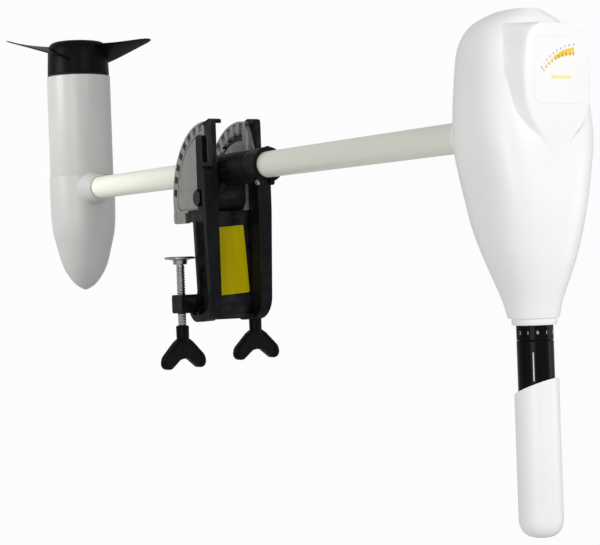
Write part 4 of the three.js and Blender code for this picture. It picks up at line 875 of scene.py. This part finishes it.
# Head, made round the shaft's axis. Its rows: share from aft to front, then shares of the half width, the
# height above the middle and the depth below it, and the superellipse's exponent
HEAD_AFT, HEAD_FRONT = -102, 163
HEAD_Z = 588
HALF_WIDTH, HALF_HEIGHT = 57, 49
HEAD_WALL = 3.2
SEAM_Z, SEAM_HALF_GAP = 563, 0.15
HEAD_ROWS = [
    (0, 0.28, 0.42, 0.58, 2.2), (0.012, 0.41, 0.48, 0.72, 2.3), (0.035, 0.61, 0.58, 0.83, 2.5),
    (0.075, 0.78, 0.68, 0.92, 2.7), (0.13, 0.88, 0.77, 0.97, 2.9), (0.21, 0.93, 0.85, 0.99, 3),
    (0.32, 0.99, 0.93, 1, 3), (0.43, 1, 0.99, 1.01, 3), (0.52, 0.94, 1, 0.99, 2.9),
    (0.61, 0.86, 1, 0.94, 2.8), (0.7, 0.79, 0.95, 0.86, 2.6), (0.79, 0.69, 0.87, 0.71, 2.4),
    (0.87, 0.56, 0.76, 0.56, 2.3), (0.94, 0.45, 0.65, 0.43, 2.1), (1, 0.39, 0.57, 0.33, 2),
]


def head_body(inset):
    """Superellipse sections along X, drawn in by some mm for the room inside."""
    places = between_rows(HEAD_ROWS, 5)
    mesh = tube_grid(len(places), 96)
    for point in mesh.verts:
        share = places[round(point.co.x)]
        wide, up, down, fullness = read_curve(HEAD_ROWS, share)
        top = HEAD_Z + HALF_HEIGHT * up - inset
        bottom = HEAD_Z - HALF_HEIGHT * down + inset
        half = max(HALF_WIDTH * wide - inset, 1)
        angle = atan2(point.co.z, point.co.y)
        c, s = cos(angle), sin(angle)
        y = copysign(abs(c) ** (2 / fullness), c) * half
        z = copysign(abs(s) ** (2 / fullness), s) * (top - bottom) / 2 + (top + bottom) / 2
        point.co = (HEAD_AFT + inset + (HEAD_FRONT - HEAD_AFT - 2 * inset) * share, y, z)
    return mesh


# Half outline of the display platform: the foot's (x, y, z) on the dome, then the top edge's (x, y, z)
PLATFORM_ROWS = [
    (-87, 0, 619, -85.6, 0, 640), (-87.2, 10, 618.8, -85.7, 9, 640), (-87.6, 20, 616.5, -85.1, 17, 640),
    (-87.2, 31, 610.8, -80.5, 25, 640), (-83, 35, 611, -76, 28.8, 640), (-77, 37.3, 612, -71, 31.2, 640),
    (-62.6, 40.7, 616.5, -58, 33, 640), (-45, 41.2, 621.6, -44, 33.6, 640),
    (-23.6, 39.3, 626.5, -22, 33, 639.7), (-8.7, 36, 629.8, -9, 29.5, 639.2),
    (3.3, 28.8, 632.5, 2, 22.5, 638.6), (10.2, 21, 634.7, 9, 15, 638.1), (20, 12, 636.3, 18, 8.5, 637.5),
    (29, 5, 636.9, 27, 3.4, 637.2), (35, 0, 637, 33, 0, 637),
]
# How far the platform's side has come towards its top edge, across and up
PLATFORM_SIDE = [
    (-0.5, -0.5), (0, 0), (0.3, 0.3), (0.6, 0.6), (0.78, 0.8), (0.92, 0.92), (1.07, 0.98), (1.3, 1),
]


def platform():
    """Outlines from inside the dome to the top, bridged in turn."""
    mesh = bmesh.new()
    numbered = [(place, *row) for place, row in enumerate(PLATFORM_ROWS)]
    half = [read_curve(numbered, place) for place in between_rows(numbered, 5)]
    loops = []
    for across, rise in PLATFORM_SIDE:
        ring = [
            (fx + (tx - fx) * across, max(fy + (ty - fy) * across, 0), fz + (tz - fz) * rise)
            for fx, fy, fz, tx, ty, tz in half
        ]
        points = [mesh.verts.new(spot) for spot in ring] + [
            mesh.verts.new((x, -y, z)) for x, y, z in reversed(ring[1:-1])
        ]
        loops.append([mesh.edges.new((a, b)) for a, b in zip(points, points[1:] + points[:1])])
    for low, high in zip(loops, loops[1:]):
        bmesh.ops.bridge_loops(mesh, edges=low + high)
    bmesh.ops.edgeloop_fill(mesh, edges=loops[0])
    bmesh.ops.edgeloop_fill(mesh, edges=loops[-1])
    bmesh.ops.triangulate(mesh, faces=[face for face in mesh.faces if len(face.verts) > 4])
    return outward(mesh)


def gauge_outline(inset):
    """The rounded window of the gauge, drawn in by some mm."""
    aft, front, side, corner = -73.5 + inset, -17.5 - inset, 25 - inset, 7 - inset
    return [(aft, -side, corner), (front, -side, corner), (front, side, corner), (aft, side, corner)]


def head_cover():
    """The shell above the seam, with the platform, the gauge's recess and the tiller's bore."""
    above = block(-130, 180, -80, 80, SEAM_Z + SEAM_HALF_GAP, 660)
    outer = kept(joined(head_body(0), platform()), above)
    board_room = block(-65.5, -25.5, -17, 17, 588, 635)
    recess = plate(gauge_outline(0), "z", 639.4, 650)
    tiller_bore = moved(rod(13.8, 143, 175, "x"), 0, 0, TILLER_Z)
    return moved(carved(outer, head_body(HEAD_WALL), board_room, recess, tiller_bore), SHAFT_X)


def head_base():
    """The tray below the seam, with the neck round the shaft and a hole for the cord's gland."""
    below = block(-130, 180, -80, 80, 480, SEAM_Z - SEAM_HALF_GAP)
    tray = carved(kept(head_body(0), below), head_body(HEAD_WALL))
    neck = spun([
        (0, 502), (17.2, 502), (18, 502.8), (18.2, 506), (19, 516), (20.6, 526), (23, 534), (25.5, 538.4),
        (29, 541.6), (24, 546), (24, 561), (0, 561),
    ], "z")
    gland_hole = moved(rod(6.3, 480, 570, "z"), -70)
    return moved(carved(joined(tray, neck), rod(SHAFT_BORE, 496, 570, "z"), gland_hole), SHAFT_X)


piece("head_cover_shell", head_cover(), "drive", moulded_abs, ["head_cover"], 0.5, 3)
piece("head_base_shell", head_base(), "drive", moulded_abs, ["head_base"], 0.5, 3)
film = moved(plate(gauge_outline(0.06), "z", 639.42, 640), SHAFT_X)
piece("gauge_film", film, "drive", polyester_film, ["meter_membrane"], 0)
gland = spun([
    (3.4, 526), (5.2, 526), (6, 526.8), (7.6, 529), (9, 530.4), (9, 537), (8.4, 538.5), (6, 538.6),
    (6, 548), (3.4, 548), (3.4, 526),
], "z")
piece(
    "cord_gland", moved(gland, SHAFT_X - 70), "drive", moulded_nylon, ["cable_gland"], 0.3,
)

# Tiller
ring = spun([
    (13.4, 163), (19, 163), (19.7, 163.7), (19.7, 167.6), (19, 169), (13.4, 169), (13.4, 163),
], "x")
piece(
    "tiller_ring_band", moved(ring, *TILLER), "drive", moulded_abs, ["tiller_ring"], 0.3,
)
dial = spun([
    (13.4, 169), (15.8, 169), (16, 169.3), (16, 181.4), (15.6, 182), (13.4, 182), (13.4, 169),
], "x")
piece("dial_barrel", moved(dial, *TILLER), "drive", gloss_black, ["speed_dial"], 0.2)
barrel = spun([
    (9.8, 162), (12.8, 162), (12.8, 182.3), (15.7, 182.3), (16, 182.7), (16, 335), (13.4, 335),
    (13.4, 186.3), (9.8, 186.3), (9.8, 162),
], "x")
piece(
    "throttle_barrel", moved(barrel, *TILLER), "throttle", gloss_black, ["throttle_tube"],
    0.25,
)


def hand_grip():
    """A smooth sleeve with a domed end, cut off on a slant at its aft end."""
    body = spun([
        (0, 206), (19.4, 206), (19.4, 336), (19.1, 339.5), (18.2, 343), (16.6, 346), (14.2, 348.7),
        (11, 350.7), (7, 351.7), (0, 352),
    ], "x", 128)
    bore = spun([(0, 200), (16.6, 200), (16.6, 337), (13.1, 337), (13.1, 345.3), (0, 345.3)], "x", 96)
    slope, roll = atan(0.39), radians(25)
    slant = turned_by(turned_by(block(-90, 0, -40, 40, -40, 40), -slope, "Y"), -roll, "X")
    return moved(carved(body, bore, moved(slant, 222)), *TILLER)


piece("hand_grip", hand_grip(), "grip", moulded_abs, ["grip"], 0.8, 3)


# Printing: the dial's numbers and the gauge's scale
def printed_text(words, size):
    """Flat lettering as a mesh, centred, reading along X with its top towards Y."""
    curve = bpy.data.curves.new("lettering", "FONT")
    curve.body = words
    curve.size = size
    curve.align_x = "CENTER"
    curve.align_y = "CENTER"
    curve.extrude = 0.06
    curve.resolution_u = 3
    holder = linked("lettering", curve)
    bpy.context.view_layer.update()
    mesh = bmesh.new()
    mesh.from_mesh(holder.evaluated_get(bpy.context.evaluated_depsgraph_get()).to_mesh())
    bpy.data.objects.remove(holder)
    bmesh.ops.remove_doubles(mesh, verts=mesh.verts, dist=MERGE)
    return mesh


def gathered(meshes):
    """Several meshes in one, without joining them."""
    whole = bmesh.new()
    for mesh in meshes:
        holder = bpy.data.meshes.new("part")
        mesh.to_mesh(holder)
        mesh.free()
        whole.from_mesh(holder)
        bpy.data.meshes.remove(holder)
    return whole


def wrapped(mesh, x, around, radius):
    """Lays a flat mesh on a barrel along X: its Y runs forward and its X round the barrel."""
    for point in mesh.verts:
        angle = around - point.co.x / radius
        reach = radius + point.co.z
        point.co = (x - point.co.y, reach * cos(angle), reach * sin(angle))
    return mesh


DIAL_RADIUS = 16
numbers = []
for step, number in enumerate("432101234"):
    around = radians(-2 + 30 * step)
    numbers.append(wrapped(printed_text(number, 4.2), 175.4, around, DIAL_RADIUS))
piece("dial_numbers", moved(gathered(numbers), *TILLER), "drive", white_ink, edge=0)
pointer = wrapped(block(-0.5, 0.5, -12.3, 12.3, -0.06, 0.06), 204.3, radians(134), DIAL_RADIUS)
piece("throttle_pointer", moved(pointer, *TILLER), "throttle", white_ink, edge=0)

# The gauge's scale runs round a centre, which is measured from the shaft's axis
GAUGE_CENTRE = (-15.6, 16.5)
GAUGE_INNER = 42.8
PRINT_LOW, PRINT_HIGH = 640.01, 640.06
TICKS, FIRST_TICK, TICK_STEP, TICK_HALF = 10, -47, 5.3, 0.35


def gauge_spot(radius, degrees):
    """A place on the gauge at a distance from its centre, angles from straight aft towards port."""
    angle = radians(degrees)
    return GAUGE_CENTRE[0] - radius * cos(angle), GAUGE_CENTRE[1] + radius * sin(angle)


def scale_reach(degrees):
    """The outer radius of the band, which widens along the scale."""
    return 43.6 + 5.6 * (degrees + 48) / 49


def gauge_band(start, end, steps):
    angles = [start + (end - start) * step / steps for step in range(steps + 1)]
    outer = [gauge_spot(scale_reach(angle), angle) for angle in angles]
    inner = [gauge_spot(GAUGE_INNER, angle) for angle in reversed(angles)]
    return plate(outer + inner, "z", PRINT_LOW, PRINT_HIGH)


piece("gauge_band_low", moved(gauge_band(-47, -26, 10), SHAFT_X), "drive", pale_yellow_ink, edge=0)
piece("gauge_band_high", moved(gauge_band(-26, 1, 12), SHAFT_X), "drive", yellow_ink, edge=0)
legend = plate([(-41, -7.6), (-38, -7.6), (-38, 12.3), (-41, 12.3)], "z", PRINT_LOW, PRINT_HIGH)
piece("gauge_legend_bar", moved(legend, SHAFT_X), "drive", pale_yellow_ink, edge=0)
marks = []
for step in range(TICKS):
    angle = FIRST_TICK + TICK_STEP * step
    near, far = GAUGE_INNER - 0.4, GAUGE_INNER + (1.4 if step < TICKS / 2 else 2.6)
    marks.append(plate([
        gauge_spot(near, angle - TICK_HALF), gauge_spot(far, angle - TICK_HALF),
        gauge_spot(far, angle + TICK_HALF), gauge_spot(near, angle + TICK_HALF),
    ], "z", 640.02, 640.1))
    digit = turned_by(printed_text(str(step), 2.6), pi / 2, "Z")
    marks.append(moved(digit, *gauge_spot(scale_reach(angle) + 2.3, angle), 640.07))
piece("gauge_scale", moved(gathered(marks), SHAFT_X), "drive", black_ink, edge=0)

# The pieces that keep their frame shape get their finish
FINISH_OF = {
    turned_steel: [
        "tension_screw", "bearing_front", "bearing_rear", "tie_bolt_port", "tie_bolt_starboard",
        "armature_axle", "drive_pin", "propeller_washer",
    ],
    natural_nylon: ["swivel_bush_lower", "swivel_bush_upper", "brush_plate"],
    black_rubber: ["motor_cable", "shaft_seal"],
    powder_coat: ["rear_cap"],
    moulded_nylon: ["speed_switch", "inner_tube"],
    turned_copper: ["commutator"],
    steel_stack: ["armature"],
    sintered_ferrite: ["magnet_upper", "magnet_lower"],
    pressed_carbon: ["brush_port", "brush_starboard"],
    green_board: ["meter_board"],
}
for material, names in FINISH_OF.items():
    for name in names:
        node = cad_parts[name]
        node.data.materials.clear()
        node.data.materials.append(material)

# Camera where the photograph was taken from
right = Vector((0.0351, 0.8708, 0.4904)).normalized()
forward = Vector((0.0046, 0.4906, -0.8714)).normalized()
up = right.cross(forward).normalized()
camera = linked("camera", bpy.data.cameras.new("camera"))
camera.data.lens = 108
camera.data.sensor_width = 36
camera.data.clip_start = 0.05
camera.data.clip_end = 50
camera.matrix_world = Matrix((
    (right.x, up.x, -forward.x, 10.9 * MM), (right.y, up.y, -forward.y, -934.6 * MM),
    (right.z, up.z, -forward.z, 1846.9 * MM), (0, 0, 0, 1),
))
bpy.context.scene.camera = camera

# Floor: 8 m to each side, pale, white to the camera, and it keeps the shadow. It lies 10 mm below the
# lowest place that the pod reaches when the shaft slides down
floor_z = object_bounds()[0].z - (DEPTH_TRAVEL + 10) * MM
floor_mesh = bmesh.new()
bmesh.ops.create_grid(floor_mesh, x_segments=1, y_segments=1, size=8)
floor_data = bpy.data.meshes.new("studio_floor")
moved(floor_mesh, 0, 0, floor_z).to_mesh(floor_data)
floor_mesh.free()
floor = linked("studio_floor", floor_data)
paper = bpy.data.materials.new("white_studio_paper")
paper.use_nodes = True
paper.node_tree.nodes.clear()
seen = add_node(paper, "LightPath")
matt = add_node(paper, "BsdfDiffuse", {"Color": linear("#f4f4f4")})
glow = add_node(paper, "Emission")
# What the camera sees is mostly plain white, and the rest shows the shadow
mostly = add_node(paper, "Math", {"operation": "MULTIPLY", 1: 0.94}, {0: seen.outputs["Is Camera Ray"]})
shown = add_node(
    paper, "MixShader",
    links={0: mostly.outputs["Value"], 1: matt.outputs["BSDF"], 2: glow.outputs["Emission"]},
)
add_node(paper, "OutputMaterial", links={"Surface": shown.outputs["Shader"]})
floor_data.materials.append(paper)

# World: plain ambient light, white where the camera, a reflection or a see-through ray meets it
world = bpy.data.worlds.new("studio")
bpy.context.scene.world = world
world.use_nodes = True
world.node_tree.nodes.clear()
path = add_node(world, "LightPath")
white = path.outputs["Is Camera Ray"]
for ray in ("Is Glossy Ray", "Is Transmission Ray"):
    either = add_node(world, "Math", {"operation": "MAXIMUM"}, {0: white, 1: path.outputs[ray]})
    white = either.outputs["Value"]
strength = add_node(world, "MapRange", {"To Min": 0.44}, {"Value": white})
sky = add_node(world, "Background", {"Color": (1, 1, 1, 1)}, {"Strength": strength.outputs["Result"]})
add_node(world, "OutputWorld", links={"Surface": sky.outputs["Background"]})


def soft_lamp(name, place, aim, size, power, spread=180):
    """A round lamp of a size in metres and a power in watts, whose light spreads over some degrees."""
    lamp = linked(name, bpy.data.lights.new(name, "AREA"))
    lamp.data.shape = "DISK"
    lamp.data.spread = radians(spread)
    lamp.data.size = size
    lamp.data.energy = power
    lamp.location = place
    lamp.rotation_euler = (Vector(aim) - Vector(place)).to_track_quat("-Z", "Y").to_euler()


soft_lamp("key_lamp", (-0.8, 0.1, 2.3), (-0.1, 0, 0.2), 1.2, 14)
soft_lamp("port_lamp", (0.15, 1.3, 1.3), (0, 0, 0.6), 0.8, 0.4, 56)
soft_lamp("front_lamp", (0, -3.2, 3), (-0.1, 0, 0.1), 2, 43)
soft_lamp("edge_lamp", (-0.35, -0.7, -0.44), (-0.15, 0, -0.4), 0.4, 0.75, 75)

bpy.context.scene.view_settings.view_transform = "Standard"
